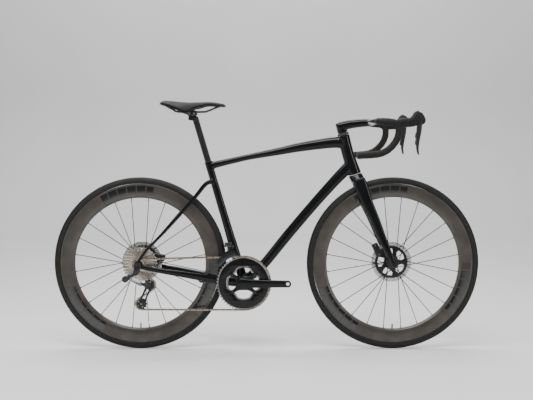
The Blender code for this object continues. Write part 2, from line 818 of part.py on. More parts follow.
# Crankset: right arm with its spider and spindle, two chainrings, left arm
PEDAL_EYE = BB_CENTRE + Vector((CRANK_LENGTH, 0, 0))
crank_right = tube(
    "crank_right",
    [
        (-112, -57.5, 265.6, 6, 12),
        (-100, -58, 265.6, 7, 19),
        (-60, -59.5, 265.6, 7.5, 17.5),
        (0, -62, 265.6, 7, 15.5),
        (60, -65.5, 265.6, 6.5, 13.5),
        (84, -67, 265.6, 6.5, 12.6),
        (95.5, -67.5, 265.6, 6, 7),
    ],
    "gloss_black",
    14,
    3.0,
)
spider = []
for angle in (38, 142, 218, 322):
    for step, radius in ((-30, 32), (-9, 48), (-7, 62), (7, 62), (9, 48), (30, 32)):
        turn = math.radians(angle + step)
        spider.append((BB_CENTRE.x + radius * math.cos(turn), BB_CENTRE.z + radius * math.sin(turn)))
join(
    crank_right,
    plate("spider", [spider], -53.5, 8.0),
    cylinder("spider_boss", (-89.6, -62, 265.6), (-89.6, -45.5, 265.6), 21, segments=20),
    cylinder("spindle", (-89.6, -50, 265.6), (-89.6, 63.5, 265.6), 12, segments=16),
    cylinder("eye_pad_right", (PEDAL_EYE.x, -60, 265.6), (PEDAL_EYE.x, -74, 265.6), 12.4),
)
pedal_hole = cylinder("pedal_hole_right", (PEDAL_EYE.x, -90, 265.6), (PEDAL_EYE.x, -50, 265.6), 7.1, segments=14)
cut(crank_right, pedal_hole)
plate(
    "chainring_outer",
    [toothed(xz(BB_CENTRE), BIG_RING_TEETH), circle(xz(BB_CENTRE), 46, 24)],
    BIG_RING_Y,
    1.6,
    "gloss_black",
)
plate(
    "chainring_inner",
    [toothed(xz(BB_CENTRE), SMALL_RING_TEETH), circle(xz(BB_CENTRE), 46, 24)],
    SMALL_RING_Y,
    1.6,
    "dark_steel",
)
LEFT_EYE = BB_CENTRE - Vector((CRANK_LENGTH, 0, 0))
crank_left = tube(
    "crank_left",
    [
        (-66, 56, 265.6, 7, 12),
        (-76, 56, 265.6, 8.5, 18.5),
        (-105, 57, 265.6, 8.5, 17.5),
        (-170, 61, 265.6, 7, 15.5),
        (-230, 65, 265.6, 6.5, 13.5),
        (-263, 67, 265.6, 6.5, 12.6),
        (-274.5, 67.5, 265.6, 6, 7),
    ],
    "gloss_black",
    14,
    3.0,
)
join(
    crank_left,
    cylinder("clamp_boss", (-89.6, 46, 265.6), (-89.6, 64.5, 265.6), 19, segments=18),
    cylinder("eye_pad_left", (LEFT_EYE.x, 60, 265.6), (LEFT_EYE.x, 74, 265.6), 12.4),
)
cut(
    crank_left,
    cylinder("spindle_bore", (-89.6, 40, 265.6), (-89.6, 63.8, 265.6), 12.3, segments=16),
    cylinder("pedal_hole_left", (LEFT_EYE.x, 50, 265.6), (LEFT_EYE.x, 90, 265.6), 7.1, segments=14),
)

# Front derailleur: a motor body on the seat tube and a cage round the chain
front_derailleur_body = block("front_derailleur_body", (-148, -29, 414), (34, 20, 20), "matt_black", bevel=3.0)
join(front_derailleur_body, block("braze_on_foot", (-128, -22, 404), (16, 9, 22)))
seat_tube_rings = [oval(at_seat(z), SEAT_UP, 15.6, 19.5, 14) for z in (360, 460)]
cut(front_derailleur_body, loft("seat_tube_cut", seat_tube_rings))


def ring_point(radius, degrees):
    turn = math.radians(degrees)
    return (BB_CENTRE.x + radius * math.cos(turn), BB_CENTRE.z + radius * math.sin(turn))


cage_side = [ring_point(113, a) for a in (104, 112, 120, 128, 136, 143)]
cage_side += [(-195, 338), (-190, 352), (-172, 380), (-150, 394), (-122, 395)]
front_cage = plate("front_derailleur_cage", [cage_side], -54.6, 1.4, "dark_alloy")
join(
    front_cage,
    plate("front_cage_inner", [cage_side], -41.2, 1.4),
    block("front_cage_bridge", (-137, -47.9, 389.5), (22, 13.6, 5)),
    block("front_cage_tail", (-188, -47.9, 339), (6, 13.6, 5)),
    block("front_cage_arm", (-148, -44.5, 402), (12, 6, 26)),
)

# Rear derailleur: hanger, knuckle with motor, two links, lower knuckle, cage and pulleys
HANGER_HOLE = (-507, 311)
hanger_outline = circle(xz(REAR_AXLE), 13.5, 12, math.radians(30))[0:7] + [(-518, 318), (-517, 304)]
hanger_outline += [(-507, 300), (-497, 305), (-488, 326)]
plate("rear_derailleur_hanger", [hanger_outline, circle(xz(REAR_AXLE), 6.4, 10)], -81.9, 5.0, "dark_alloy")
LINK_START = Vector((-523, 0, 291))
LINK_ALONG = Vector((0.853, 0, -0.522)).normalized()
LINK_IN = Vector((0, 0.85, -0.53))
LINK_IN = (LINK_IN - LINK_ALONG * LINK_IN.dot(LINK_ALONG)).normalized()
LINK_PIN = LINK_ALONG.cross(LINK_IN)
LINK_LENGTH = 44.0
LINK_REST = math.radians(-15)
PIN_RADIUS = 2.6
link_run = (LINK_ALONG * math.cos(LINK_REST) + LINK_IN * math.sin(LINK_REST)) * LINK_LENGTH


def pin_box(name, centre, half_along, half_in, half_pin, slot=None, along=LINK_ALONG):
    """A box set square to the derailleur's slanted pins."""
    across = LINK_PIN.cross(along).normalized()
    turn = Matrix((along.normalized(), across, LINK_PIN)).transposed().to_4x4()
    scale = Matrix.Diagonal((2 * half_along * MM, 2 * half_in * MM, 2 * half_pin * MM, 1.0))
    bm = bmesh.new()
    bmesh.ops.create_cube(bm, size=1.0, matrix=Matrix.Translation(Vector(centre) * MM) @ turn @ scale)
    return place(name, finish_mesh(bm, name), slot)


OUTER_PIN = LINK_START + Vector((0, -98, 0))
INNER_PIN = OUTER_PIN + LINK_IN * 11.0
for link_name, pin in (("outer", OUTER_PIN), ("inner", INNER_PIN)):
    pin_box(
        f"rear_derailleur_link_{link_name}",
        pin + link_run / 2,
        LINK_LENGTH / 2 - PIN_RADIUS - 0.6,
        2.6 if link_name == "outer" else 1.8,
        9.0 if link_name == "outer" else 7.0,
        "matt_black" if link_name == "outer" else "dark_alloy",
        link_run,
    )


def yoke(name, base, toward):
    """Two pins and the bar that carries them, on the side away from the links."""
    middle = base + LINK_IN * 5.5 + toward * 4.4
    bar = pin_box(name + "_bar", middle, 2.4, 8.0, 6.5)
    pins = [
        cylinder(f"{name}_pin_{k}", pin - LINK_PIN * 6.5, pin + LINK_PIN * 6.5, PIN_RADIUS, segments=8)
        for k, pin in enumerate((base, base + LINK_IN * 11.0))
    ]
    return [bar, *pins]


upper = cylinder("rear_derailleur_motor", (-507, -84.8, 311), (-507, -98, 311), 10, "matt_black", 16)
join(
    upper,
    block("motor_bridge", (-520, -92, 302.5), (30, 11, 12), along=(0.85, 0, 0.54)),
    *yoke("upper", OUTER_PIN, -LINK_ALONG),
    cylinder("motor_can", (-546, -82, 288), (-546, -103, 288), 13.0, segments=16),
    block("can_bridge", (-535, -92, 296), (22, 11, 12), along=(0.85, 0, 0.54)),
)
PIVOT = Vector((-461, 0, 266))
lower = cylinder(
    "rear_derailleur_knuckle", (PIVOT.x, -75.2, PIVOT.z), (PIVOT.x, -96, PIVOT.z), 11, "matt_black", 16
)
join(
    lower,
    *yoke("lower", OUTER_PIN + link_run, LINK_ALONG),
    block("knuckle_arm", (-471, -96, 266.5), (20, 14, 12), along=(0.95, 0, -0.3)),
)
guide = xz(GUIDE_PULLEY)
tension = xz(TENSION_PULLEY)
cage_outline = [
    (guide[0] + 9, guide[1] + 9),
    (guide[0] + 12, guide[1] - 4),
    (tension[0] + 14, tension[1] + 4),
    (tension[0] + 8, tension[1] - 11),
    (tension[0] - 7, tension[1] - 11),
    (tension[0] - 12, tension[1] + 3),
    (guide[0] - 17, guide[1] - 6),
    (guide[0] - 13, guide[1] + 12),
]
cage = plate("rear_derailleur_cage", [cage_outline], -72.6, 1.8, "dark_alloy")
join(
    cage,
    plate("cage_inner_side", [cage_outline], -59.4, 1.8),
    cylinder("guide_bolt", (guide[0], -73, guide[1]), (guide[0], -59, guide[1]), 3, segments=10),
    cylinder("tension_bolt", (tension[0], -73, tension[1]), (tension[0], -59, tension[1]), 3, segments=10),
)
for pulley_name, centre in (("guide_pulley", guide), ("tension_pulley", tension)):
    outlines = [toothed(centre, PULLEY_TEETH), circle(centre, 3.4, 10)]
    plate(pulley_name, outlines, SMALL_COG_Y, 1.6, "matt_black")


# Brakes: a caliper straddling each rotor and two pads inside it
def brake(end_name, axle, rotor_y, centre, along, foot):
    caliper = block(f"{end_name}_brake_caliper", centre, (58, 26, 27), "matt_black", along, 4.0)
    join(caliper, block(f"{end_name}_caliper_foot", *foot, along=along))
    slot_low = (axle.x, rotor_y - 5.6, axle.z)
    slot_high = (axle.x, rotor_y + 5.6, axle.z)
    cut(caliper, cylinder(f"{end_name}_caliper_slot", slot_low, slot_high, 82.5, segments=48))
    outward = Vector((centre[0] - axle.x, 0, centre[2] - axle.z)).normalized()
    spot = axle + outward * 68
    for side_name, flip in (("right", -1), ("left", 1)):
        y = rotor_y + flip * (0.9 + 0.4 + 1.9)
        block(f"{end_name}_brake_pad_{side_name}", (spot.x, y, spot.z), (24, 3.8, 12), "steel", along)


brake(
    "front",
    FRONT_AXLE,
    FRONT_ROTOR_Y,
    (441.5, FRONT_ROTOR_Y, 388.5),
    (0.42, 0, -0.907),
    ((434, 56, 386), (46, 16, 8)),
)
brake(
    "rear",
    REAR_AXLE,
    REAR_ROTOR_Y,
    (-434, REAR_ROTOR_Y, 359),
    (0.975, 0, -0.22),
    ((-437, 67, 340), (40, 9, 14)),
)

# Seat: post, clamp, rails and saddle
post_rings = [oval(at_seat(z), SEAT_UP, 9.0, 12.5, 14) for z in (600, 640, 760, 880, 903)]
post = loft("seatpost", post_rings, "satin_carbon")
join(post, block("post_head", (-290, 0, 911), (34, 30, 19), along=(0.98, 0, -0.12)))
clamp = block("saddle_clamp", (-292, 0, 932.5), (40, 56, 19), "dark_alloy", bevel=3.0)
cut(
    clamp,
    cylinder("rail_channel_left", (-330, 22, 936.5), (-250, 22, 936.5), 3.8, segments=10),
    cylinder("rail_channel_right", (-330, -22, 936.5), (-250, -22, 936.5), 3.8, segments=10),
)
RAIL = [
    (-386, 33, 955),
    (-366, 28, 945),
    (-345, 22, 936.5),
    (-250, 22, 936.5),
    (-228, 18, 941),
    (-200, 12, 952),
    (-184, 5, 957),
]
wire("saddle_rails", RAIL + [(x, -y, z) for x, y, z in reversed(RAIL)], 3.4, "dark_steel")
SADDLE = [
    (-418, 34, 974, 5, 7),
    (-409, 54, 979, 9, 11),
    (-392, 66, 981, 14, 13),
    (-368, 71, 979.5, 20, 14),
    (-341, 66, 976.7, 28, 14),
    (-321, 58, 975.8, 37, 14),
    (-303, 49, 975.5, 34, 13),
    (-286, 42, 975.9, 22, 12.5),
    (-262, 33, 976.7, 18, 12),
    (-230, 26, 977.5, 11, 12),
    (-195, 22, 974.5, 10, 11),
    (-170, 18, 970, 8, 9),
    (-159, 11, 966, 5, 7),
]
saddle_rings = []
for x, half, top, drop, thick in SADDLE:
    upper_side = []
    lower_side = []
    for share in (-1.0, -0.82, -0.5, 0.0, 0.5, 0.82, 1.0):
        z = top - drop * abs(share) ** 2.4
        upper_side.append(Vector((x, half * share, z)))
        lower_side.append(Vector((x, half * share * 0.95, z - thick * (1 - 0.3 * abs(share)))))
    saddle_rings.append(upper_side + lower_side[::-1])
loft("saddle", saddle_rings, "saddle_cover")


# Joint axes: each moving piece hangs from an empty on the line that it turns or slides on
def pivot(name, centre, axis, parent, members):
    """An empty with its Z along a joint's axis. What it carries keeps its place."""
    empty = bpy.data.objects.new(name, None)
    PARTS.objects.link(empty)
    empty.empty_display_size = 0.02
    empty.matrix_world = Matrix.Translation(Vector(centre) * MM) @ basis(axis)
    bpy.context.view_layer.update()
    carried = [bpy.data.objects[member] for member in members]
    for obj in carried:
        obj.parent = empty
        obj.matrix_parent_inverse = empty.matrix_world.inverted()
    if parent:
        holder = bpy.data.objects[parent]
        empty.parent = holder
        empty.matrix_parent_inverse = holder.matrix_world.inverted()
    bpy.context.view_layer.update()


def wheel_members(end_name):
    return [f"{end_name}_{piece}" for piece in ("tyre", "rim", "hub_and_spokes", "brake_rotor")]


FORK_MEMBERS = ["fork", "headset_cover", "steerer_plug", "handlebar", "front_thru_axle", "front_brake_caliper"]
for side_name in ("left", "right"):
    FORK_MEMBERS += [f"bar_tape_{side_name}", f"bar_end_plug_{side_name}", f"lever_hood_{side_name}"]
pivot("steering", STEER_POINT, STEER_UP, None, FORK_MEMBERS)
pivot("front_wheel_spin", FRONT_AXLE, SIDE, "steering", wheel_members("front"))
pivot("rear_wheel_spin", REAR_AXLE, SIDE, None, wheel_members("rear"))
pivot("cassette_spin", REAR_AXLE, SIDE, None, ["cassette", "freehub_body"])
pivot("crank_spin", BB_CENTRE, SIDE, None, ["crank_right", "crank_left", "chainring_outer", "chainring_inner"])
pivot("seatpost_height", at_seat(742), SEAT_UP, None, ["seatpost", "saddle_clamp"])
pivot("saddle_fore_aft", (-292, 0, 936.5), (1, 0, 0), "seatpost_height", ["saddle", "saddle_rails"])
pivot("front_derailleur_swing", (-148, -40, 414), (1, 0, 0), None, ["front_derailleur_cage"])
pivot("rear_derailleur_swing", OUTER_PIN, LINK_PIN, None, ["rear_derailleur_link_outer"])
pivot("rear_derailleur_swing_inner", INNER_PIN, LINK_PIN, None, ["rear_derailleur_link_inner"])
pivot(
    "rear_derailleur_knuckle_turn",
    OUTER_PIN + link_run,
    LINK_PIN,
    "rear_derailleur_swing",
    ["rear_derailleur_knuckle"],
)
pivot(
    "rear_derailleur_cage_pivot",
    PIVOT + SIDE * -75.2,
    SIDE,
    "rear_derailleur_knuckle_turn",
    ["rear_derailleur_cage"],
)
pivot("guide_pulley_spin", GUIDE_PULLEY, SIDE, "rear_derailleur_cage_pivot", ["guide_pulley"])
pivot("tension_pulley_spin", TENSION_PULLEY, SIDE, "rear_derailleur_cage_pivot", ["tension_pulley"])
for side_name, flip in (("left", 1), ("right", -1)):
    lever_joint = f"brake_lever_{side_name}_pull"
    pivot(lever_joint, (571, 200 * flip, 868), SIDE, "steering", [f"brake_lever_{side_name}"])
    for button, height in (("up", 841.5), ("down", 817.8)):
        node = f"shift_button_{button}_{side_name}"
        pivot(f"{node}_press", (558, 198 * flip, height), (0, 0, flip), lever_joint, [node])
    for end_name, carrier in (("front", "steering"), ("rear", None)):
        pad = f"{end_name}_brake_pad_{side_name}"
        where = bpy.data.objects[pad].bound_box
        middle = sum((Vector(corner) for corner in where), Vector()) / 8 / MM
        pivot(f"{pad}_slide", middle, SIDE * -flip, carrier, [pad])
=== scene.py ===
import math

import bmesh
import bpy
from mathutils import Matrix, Vector


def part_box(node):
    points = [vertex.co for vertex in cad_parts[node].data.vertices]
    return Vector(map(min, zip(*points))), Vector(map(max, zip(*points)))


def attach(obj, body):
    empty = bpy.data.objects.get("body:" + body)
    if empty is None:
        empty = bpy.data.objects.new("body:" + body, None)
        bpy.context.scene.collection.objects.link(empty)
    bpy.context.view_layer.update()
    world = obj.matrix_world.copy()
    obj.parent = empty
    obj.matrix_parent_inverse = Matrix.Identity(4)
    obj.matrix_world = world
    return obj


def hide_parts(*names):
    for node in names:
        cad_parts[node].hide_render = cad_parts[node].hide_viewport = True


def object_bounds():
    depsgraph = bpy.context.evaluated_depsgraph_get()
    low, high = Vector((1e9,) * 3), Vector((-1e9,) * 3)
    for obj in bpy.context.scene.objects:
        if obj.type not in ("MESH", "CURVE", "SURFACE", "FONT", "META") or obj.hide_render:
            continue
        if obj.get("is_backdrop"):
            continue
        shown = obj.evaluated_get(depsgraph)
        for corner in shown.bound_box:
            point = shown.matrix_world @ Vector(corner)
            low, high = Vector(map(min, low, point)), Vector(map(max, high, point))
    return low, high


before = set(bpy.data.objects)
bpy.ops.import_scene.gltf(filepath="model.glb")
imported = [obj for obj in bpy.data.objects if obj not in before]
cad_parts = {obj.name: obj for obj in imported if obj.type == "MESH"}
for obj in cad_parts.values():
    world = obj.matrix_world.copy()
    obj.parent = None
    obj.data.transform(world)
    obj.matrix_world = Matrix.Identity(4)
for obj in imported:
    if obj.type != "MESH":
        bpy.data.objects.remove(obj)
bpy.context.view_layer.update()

# Sizes in millimetres unless a name says otherwise. +X forwards, +Y left, +Z up.
MM = 0.001
BB = Vector((-89.6, 0.0, 265.6))
REAR_AXLE = Vector((-499.0, 0.0, 340.0))
FRONT_AXLE = Vector((499.0, 0.0, 340.0))
STEER_UP = Vector((-math.cos(math.radians(73.4)), 0.0, math.sin(math.radians(73.4))))
SEAT_UP = Vector((-math.cos(math.radians(73.6)), 0.0, math.sin(math.radians(73.6))))
STEER_POINT = Vector((300.0, 0.0, 854.0))
SIDE = Vector((0.0, 1.0, 0.0))
PITCH = 12.7
BIG_RING = (52, -47.3)
SMALL_RING = (36, -41.6)
SMALL_COG_Y = -66.0
COG_SPACING = 3.58
COGS = (11, 12, 13, 14, 15, 17, 19, 21, 24, 27, 30, 34)
GUIDE = Vector((-455.0, SMALL_COG_Y, 262.0))
TENSION = Vector((-488.0, SMALL_COG_Y, 188.0))
CAMERA_PLACE = (0.0, -3.8, 0.787)
CAMERA_PITCH = 2.97
CAMERA_LENS = 65.1
RIM_PANEL_TURN = 0.35


# Materials
class Surface:
    """A principled material with helpers for procedural inputs."""

    def __init__(self, name):
        self.material = bpy.data.materials.new(name)
        self.material.use_nodes = True
        self.nodes = self.material.node_tree.nodes
        self.links = self.material.node_tree.links
        self.shader = self.nodes["Principled BSDF"]
        self.place = self.nodes.new("ShaderNodeTexCoord").outputs["Object"]

    def set(self, **values):
        for key, value in values.items():
            self.shader.inputs[key.replace("_", " ")].default_value = value

    def plug(self, output, socket):
        self.links.new(output, self.shader.inputs[socket])

    def noise(self, scale, detail=4.0):
        node = self.nodes.new("ShaderNodeTexNoise")
        node.inputs["Scale"].default_value = scale
        node.inputs["Detail"].default_value = detail
        self.links.new(self.place, node.inputs["Vector"])
        return node.outputs["Fac"]

    def cells(self, scale):
        node = self.nodes.new("ShaderNodeTexVoronoi")
        node.inputs["Scale"].default_value = scale
        self.links.new(self.place, node.inputs["Vector"])
        return node.outputs["Distance"]

    def span(self, value, low, high, start=0.3, end=0.7):
        node = self.nodes.new("ShaderNodeMapRange")
        for key, number in (("From Min", start), ("From Max", end), ("To Min", low), ("To Max", high)):
            node.inputs[key].default_value = number
        self.links.new(value, node.inputs["Value"])
        return node.outputs["Result"]

    def math(self, operation, first, second=0.0, third=0.0):
        node = self.nodes.new("ShaderNodeMath")
        node.operation = operation
        for socket, value in zip(node.inputs, (first, second, third)):
            if isinstance(value, (int, float)):
                socket.default_value = value
            else:
                self.links.new(value, socket)
        return node.outputs["Value"]

    def mix(self, factor, first, second):
        node = self.nodes.new("ShaderNodeMix")
        node.data_type = "RGBA"
        self.links.new(factor, node.inputs["Factor"])
        for socket, value in ((node.inputs[6], first), (node.inputs[7], second)):
            if isinstance(value, tuple):
                socket.default_value = (*value, 1.0)
            else:
                self.links.new(value, socket)
        return node.outputs[2]

    def bump(self, height, strength, distance=0.001):
        node = self.nodes.new("ShaderNodeBump")
        node.inputs["Strength"].default_value = strength
        node.inputs["Distance"].default_value = distance
        self.links.new(height, node.inputs["Height"])
        self.links.new(node.outputs["Normal"], self.shader.inputs["Normal"])

    def parts(self):
        node = self.nodes.new("ShaderNodeSeparateXYZ")
        self.links.new(self.place, node.inputs["Vector"])
        return node.outputs["X"], node.outputs["Y"], node.outputs["Z"]


GRAIN_SCALE = 900.0


def finish_for(name, dark, light, rough, metallic=0.0, scale=60.0, coat=0.0, grain=0.0):
    """A surface whose colour and roughness wander gently, with an optional fine grain."""
    s = Surface(name)
    blotch = s.noise(scale, 5.0)
    s.plug(s.mix(s.span(blotch, 0.0, 1.0), dark, light), "Base Color")
    s.plug(s.span(s.noise(scale * 2.3, 3.0), rough[0], rough[1]), "Roughness")
    s.set(Metallic=metallic, Coat_Weight=coat, Coat_Roughness=0.04)
    if grain:
        s.bump(s.noise(GRAIN_SCALE, 2.0), grain, 0.0004)
    return s


PAINT = finish_for(
    "gloss_black_paint", (0.0032, 0.0034, 0.004), (0.0062, 0.0064, 0.0072), (0.16, 0.24), scale=18, coat=1.0
)
PAINT.set(Coat_IOR=1.28, Coat_Roughness=0.02, Specular_IOR_Level=0.05)
MATT = finish_for(
    "matt_black_alloy", (0.010, 0.0105, 0.0115), (0.019, 0.0195, 0.021), (0.36, 0.5), 0.35, 120, grain=0.10
)
PLASTIC = finish_for(
    "black_nylon", (0.010, 0.010, 0.011), (0.018, 0.018, 0.019), (0.42, 0.58), 0.0, 150, grain=0.2
)
POST = finish_for(
    "matt_carbon", (0.006, 0.006, 0.0066), (0.011, 0.011, 0.0118), (0.4, 0.5), 0.0, 90, coat=0.08,
    grain=0.05
)
POST.set(Specular_IOR_Level=0.3)
ANODISED = finish_for(
    "dark_anodised_alloy", (0.045, 0.046, 0.05), (0.075, 0.077, 0.082), (0.26, 0.36), 1.0, 200, grain=0.05
)
GREY = finish_for(
    "bead_blasted_grey", (0.22, 0.22, 0.225), (0.30, 0.30, 0.305), (0.32, 0.42), 1.0, 240, grain=0.08
)
LINK_GREY = finish_for(
    "link_grey", (0.10, 0.10, 0.104), (0.16, 0.16, 0.165), (0.3, 0.4), 1.0, 240, grain=0.06
)
STEEL = finish_for(
    "brushed_steel", (0.50, 0.49, 0.475), (0.64, 0.63, 0.61), (0.2, 0.34), 1.0, 400, grain=0.04
)
BOLT = finish_for("bolt_steel", (0.30, 0.30, 0.30), (0.45, 0.45, 0.45), (0.22, 0.34), 1.0, 300, grain=0.04)
CHAIN_PLATE = finish_for(
    "chain_plate", (0.27, 0.215, 0.165), (0.41, 0.335, 0.26), (0.22, 0.4), 1.0, 500, grain=0.05
)
CHAIN_INNER = finish_for(
    "chain_inner_plate", (0.13, 0.115, 0.10), (0.22, 0.195, 0.17), (0.25, 0.4), 1.0, 500
)
CHAIN_ROLLER = finish_for("chain_roller", (0.22, 0.20, 0.18), (0.32, 0.29, 0.26), (0.2, 0.34), 1.0, 700)
COG = finish_for(
    "sprocket_steel", (0.42, 0.375, 0.32), (0.66, 0.60, 0.53), (0.18, 0.34), 1.0, 320, grain=0.06
)
RING_BLACK = finish_for(
    "ring_black", (0.006, 0.006, 0.0065), (0.012, 0.012, 0.013), (0.18, 0.28), 0.3, 160, coat=0.4
)
RING_BLACK.set(Coat_IOR=1.3, Specular_IOR_Level=0.2)
RING_TOOTH = finish_for(
    "ring_tooth_grey", (0.20, 0.20, 0.205), (0.34, 0.34, 0.345), (0.25, 0.38), 1.0, 300, grain=0.05
)
CARRIER = finish_for(
    "rotor_carrier_black", (0.011, 0.011, 0.012), (0.022, 0.022, 0.024), (0.3, 0.42), 0.5, 160, grain=0.05
)
SPOKE = finish_for("black_spoke", (0.010, 0.010, 0.011), (0.022, 0.022, 0.024), (0.22, 0.34), 0.6, 300)
RAIL_METAL = finish_for(
    "rail_metal", (0.035, 0.035, 0.038), (0.06, 0.06, 0.064), (0.28, 0.4), 1.0, 200, grain=0.03
)
PAD_BACK = finish_for(
    "pad_backing", (0.16, 0.12, 0.08), (0.26, 0.2, 0.14), (0.35, 0.5), 1.0, 300, grain=0.1
)


def hood_surface():
    s = Surface("hood_rubber")
    s.plug(s.mix(s.span(s.noise(70), 0, 1), (0.006, 0.006, 0.0063), (0.0115, 0.0115, 0.012)), "Base Color")
    s.plug(s.span(s.noise(160), 0.5, 0.68), "Roughness")
    s.bump(s.span(s.cells(420), 0.0, 1.0, 0.1, 0.55), 0.22, 0.0005)
    s.set(Sheen_Weight=0.01, Sheen_Roughness=0.4, Specular_IOR_Level=0.2)
    return s


def tape_surface():
    s = Surface("bar_tape")
    s.plug(s.mix(s.span(s.noise(48), 0, 1), (0.007, 0.006, 0.0053), (0.0135, 0.0112, 0.0098)), "Base Color")
    s.plug(s.span(s.noise(110), 0.52, 0.72), "Roughness")
    pores = s.span(s.cells(360), 0.0, 1.0, 0.02, 0.28)
    s.bump(s.math("ADD", pores, s.math("MULTIPLY", s.noise(900), 0.3)), 0.35, 0.0006)
    s.set(Sheen_Weight=0.02, Sheen_Roughness=0.5, Specular_IOR_Level=0.2)
    return s


def saddle_surface():
    s = Surface("saddle_cover")
    s.plug(s.mix(s.span(s.noise(60), 0, 1), (0.008, 0.0075, 0.0072), (0.015, 0.0142, 0.0136)), "Base Color")
    s.plug(s.span(s.noise(130), 0.46, 0.58), "Roughness")
    s.bump(s.math("ADD", s.cells(700), s.math("MULTIPLY", s.noise(1500), 0.4)), 0.16, 0.0004)
    s.set(Sheen_Weight=0.02, Sheen_Roughness=0.35, Specular_IOR_Level=0.14)
    return s


def tyre_surface():
    """Rubber with a slightly duller, browner sidewall; the piece's origin is on the axle."""
    s = Surface("tyre_rubber")
    x, y, z = s.parts()
    radius = s.math("SQRT", s.math("ADD", s.math("MULTIPLY", x, x), s.math("MULTIPLY", z, z)))
    tread = s.span(radius, 0.0, 1.0, 0.3295, 0.3325)
    wear = s.mix(s.span(s.noise(38), 0, 1), (0.0075, 0.0075, 0.008), (0.0135, 0.0135, 0.014))
    wall = s.mix(s.span(s.noise(80), 0, 1), (0.0095, 0.009, 0.0088), (0.016, 0.0153, 0.0147))
    s.plug(s.mix(tread, wall, wear), "Base Color")
    s.plug(s.span(s.noise(90), 0.56, 0.72), "Roughness")
    cords = s.math("SINE", s.math("MULTIPLY", radius, 9000.0))
    s.bump(s.math("ADD", s.math("MULTIPLY", cords, 0.25), s.noise(700)), 0.22, 0.0005)
    s.set(Specular_IOR_Level=0.2)
    return s


def rim_surface():
    """Satin fibre with a warm sheen and glossy plain panels at three places; origin on the axle."""
    s = Surface("rim_fibre")
    x, y, z = s.parts()
    radius = s.math("SQRT", s.math("ADD", s.math("MULTIPLY", x, x), s.math("MULTIPLY", z, z)))
    turn = s.math("ARCTAN2", z, x)
    third = s.math("ABSOLUTE", s.math("WRAP", s.math("ADD", turn, RIM_PANEL_TURN), 1.0472, -1.0472))
    along = s.math("LESS_THAN", third, 0.36)
    across = s.math("MULTIPLY", s.math("GREATER_THAN", radius, 0.2725), s.math("LESS_THAN", radius, 0.3065))
    bars = s.math("GREATER_THAN", s.math("ABSOLUTE", s.math("WRAP", third, 0.065, -0.065)), 0.007)
    panel = s.math("MULTIPLY", s.math("MULTIPLY", along, across), bars)
    weave_a = s.math(
        "SINE", s.math("MULTIPLY", s.math("ADD", s.math("MULTIPLY", turn, 0.29), radius), 1900.0)
    )
    weave_b = s.math(
        "SINE", s.math("MULTIPLY", s.math("SUBTRACT", s.math("MULTIPLY", turn, 0.29), radius), 1900.0)
    )
    weave = s.span(s.math("MULTIPLY", weave_a, weave_b), 0.0, 1.0, -0.6, 0.6)
    patch = s.span(s.noise(22, 6.0), 0.0, 1.0, 0.35, 0.65)
    warm = s.mix(patch, (0.050, 0.044, 0.039), (0.078, 0.069, 0.061))
    fibre = s.mix(s.math("MULTIPLY", weave, 0.35), warm, (0.105, 0.092, 0.080))
    s.plug(s.mix(panel, fibre, (0.0045, 0.0045, 0.005)), "Base Color")
    satin = s.span(s.noise(60), 0.30, 0.40)
    s.plug(s.math("SUBTRACT", satin, s.math("MULTIPLY", panel, 0.2)), "Roughness")
    s.plug(s.math("MULTIPLY", s.math("SUBTRACT", 1.0, panel), 0.55), "Metallic")
    s.plug(s.math("MULTIPLY", panel, 0.9), "Coat Weight")
    s.bump(weave, 0.05, 0.0003)
    return s


HOOD_RUBBER = hood_surface()
TAPE = tape_surface()
SADDLE_COVER = saddle_surface()
TYRE_RUBBER = tyre_surface()
RIM_FIBRE = rim_surface()
# Darker rubber for the tread groove strips: painted shade in the grooves.
GROOVE_SHADE = finish_for(
    "groove_painted_shade", (0.005, 0.005, 0.005), (0.0085, 0.0085, 0.0085), (0.7, 0.85), 0.0, 200, grain=0.1
)


# Mesh helpers
def turns(count):
    """Angles spread evenly round a full turn."""
    return [2 * math.pi * k / count for k in range(count)]


def polar(centre, radius, turn):
    """The (x, z) point at a radius and an angle from a centre (x, z)."""
    return (centre[0] + radius * math.cos(turn), centre[1] + radius * math.sin(turn))


def around(axle, radius, turn, y):
    """The place at a radius and an angle from an axle, moved by y across."""
    return axle + Vector((radius * math.cos(turn), y, radius * math.sin(turn)))


def circle(centre, radius, count=48, start=0.0):
    return [polar(centre, radius, start + turn) for turn in turns(count)]


def add(name, data):
    obj = bpy.data.objects.new(name, data)
    bpy.context.scene.collection.objects.link(obj)
    return obj


def shade(obj, sharp_angle=None):
    """Smooth shading, with edges above the angle kept sharp."""
    for face in obj.data.polygons:
        face.use_smooth = True
    if sharp_angle is not None:
        obj.data.set_sharp_from_angle(angle=math.radians(sharp_angle))


def to_object(name, bm, surface, smooth_angle=40.0, origin=None):
    bmesh.ops.recalc_face_normals(bm, faces=bm.faces)
    if origin is not None:
        bmesh.ops.translate(bm, verts=bm.verts, vec=-Vector(origin) * MM)
    mesh = bpy.data.meshes.new(name)
    bm.to_mesh(mesh)
    bm.free()
    mesh.materials.append(surface.material)
    obj = add(name, mesh)
    shade(obj, smooth_angle)
    if origin is not None:
        obj.location = Vector(origin) * MM
    return obj


def bake(obj):
    """Applies the modifiers."""
    graph = bpy.context.evaluated_depsgraph_get()
    mesh = bpy.data.meshes.new_from_object(obj.evaluated_get(graph))
    obj.modifiers.clear()
    obj.data = mesh
    return obj


def ring_points(centre, along, half_side, half_depth, count, power, side):
    along = Vector(along).normalized()
    side = (side - along * side.dot(along)).normalized()
    depth = along.cross(side)
    points = []
    for k in range(count):
        angle = 2 * math.pi * (k + 0.5) / count
        c = math.cos(angle)
        s = math.sin(angle)
        across = math.copysign(abs(c) ** (2 / power), c) * half_side
        deep = math.copysign(abs(s) ** (2 / power), s) * half_depth
        points.append(Vector(centre) + side * across + depth * deep)
    return points


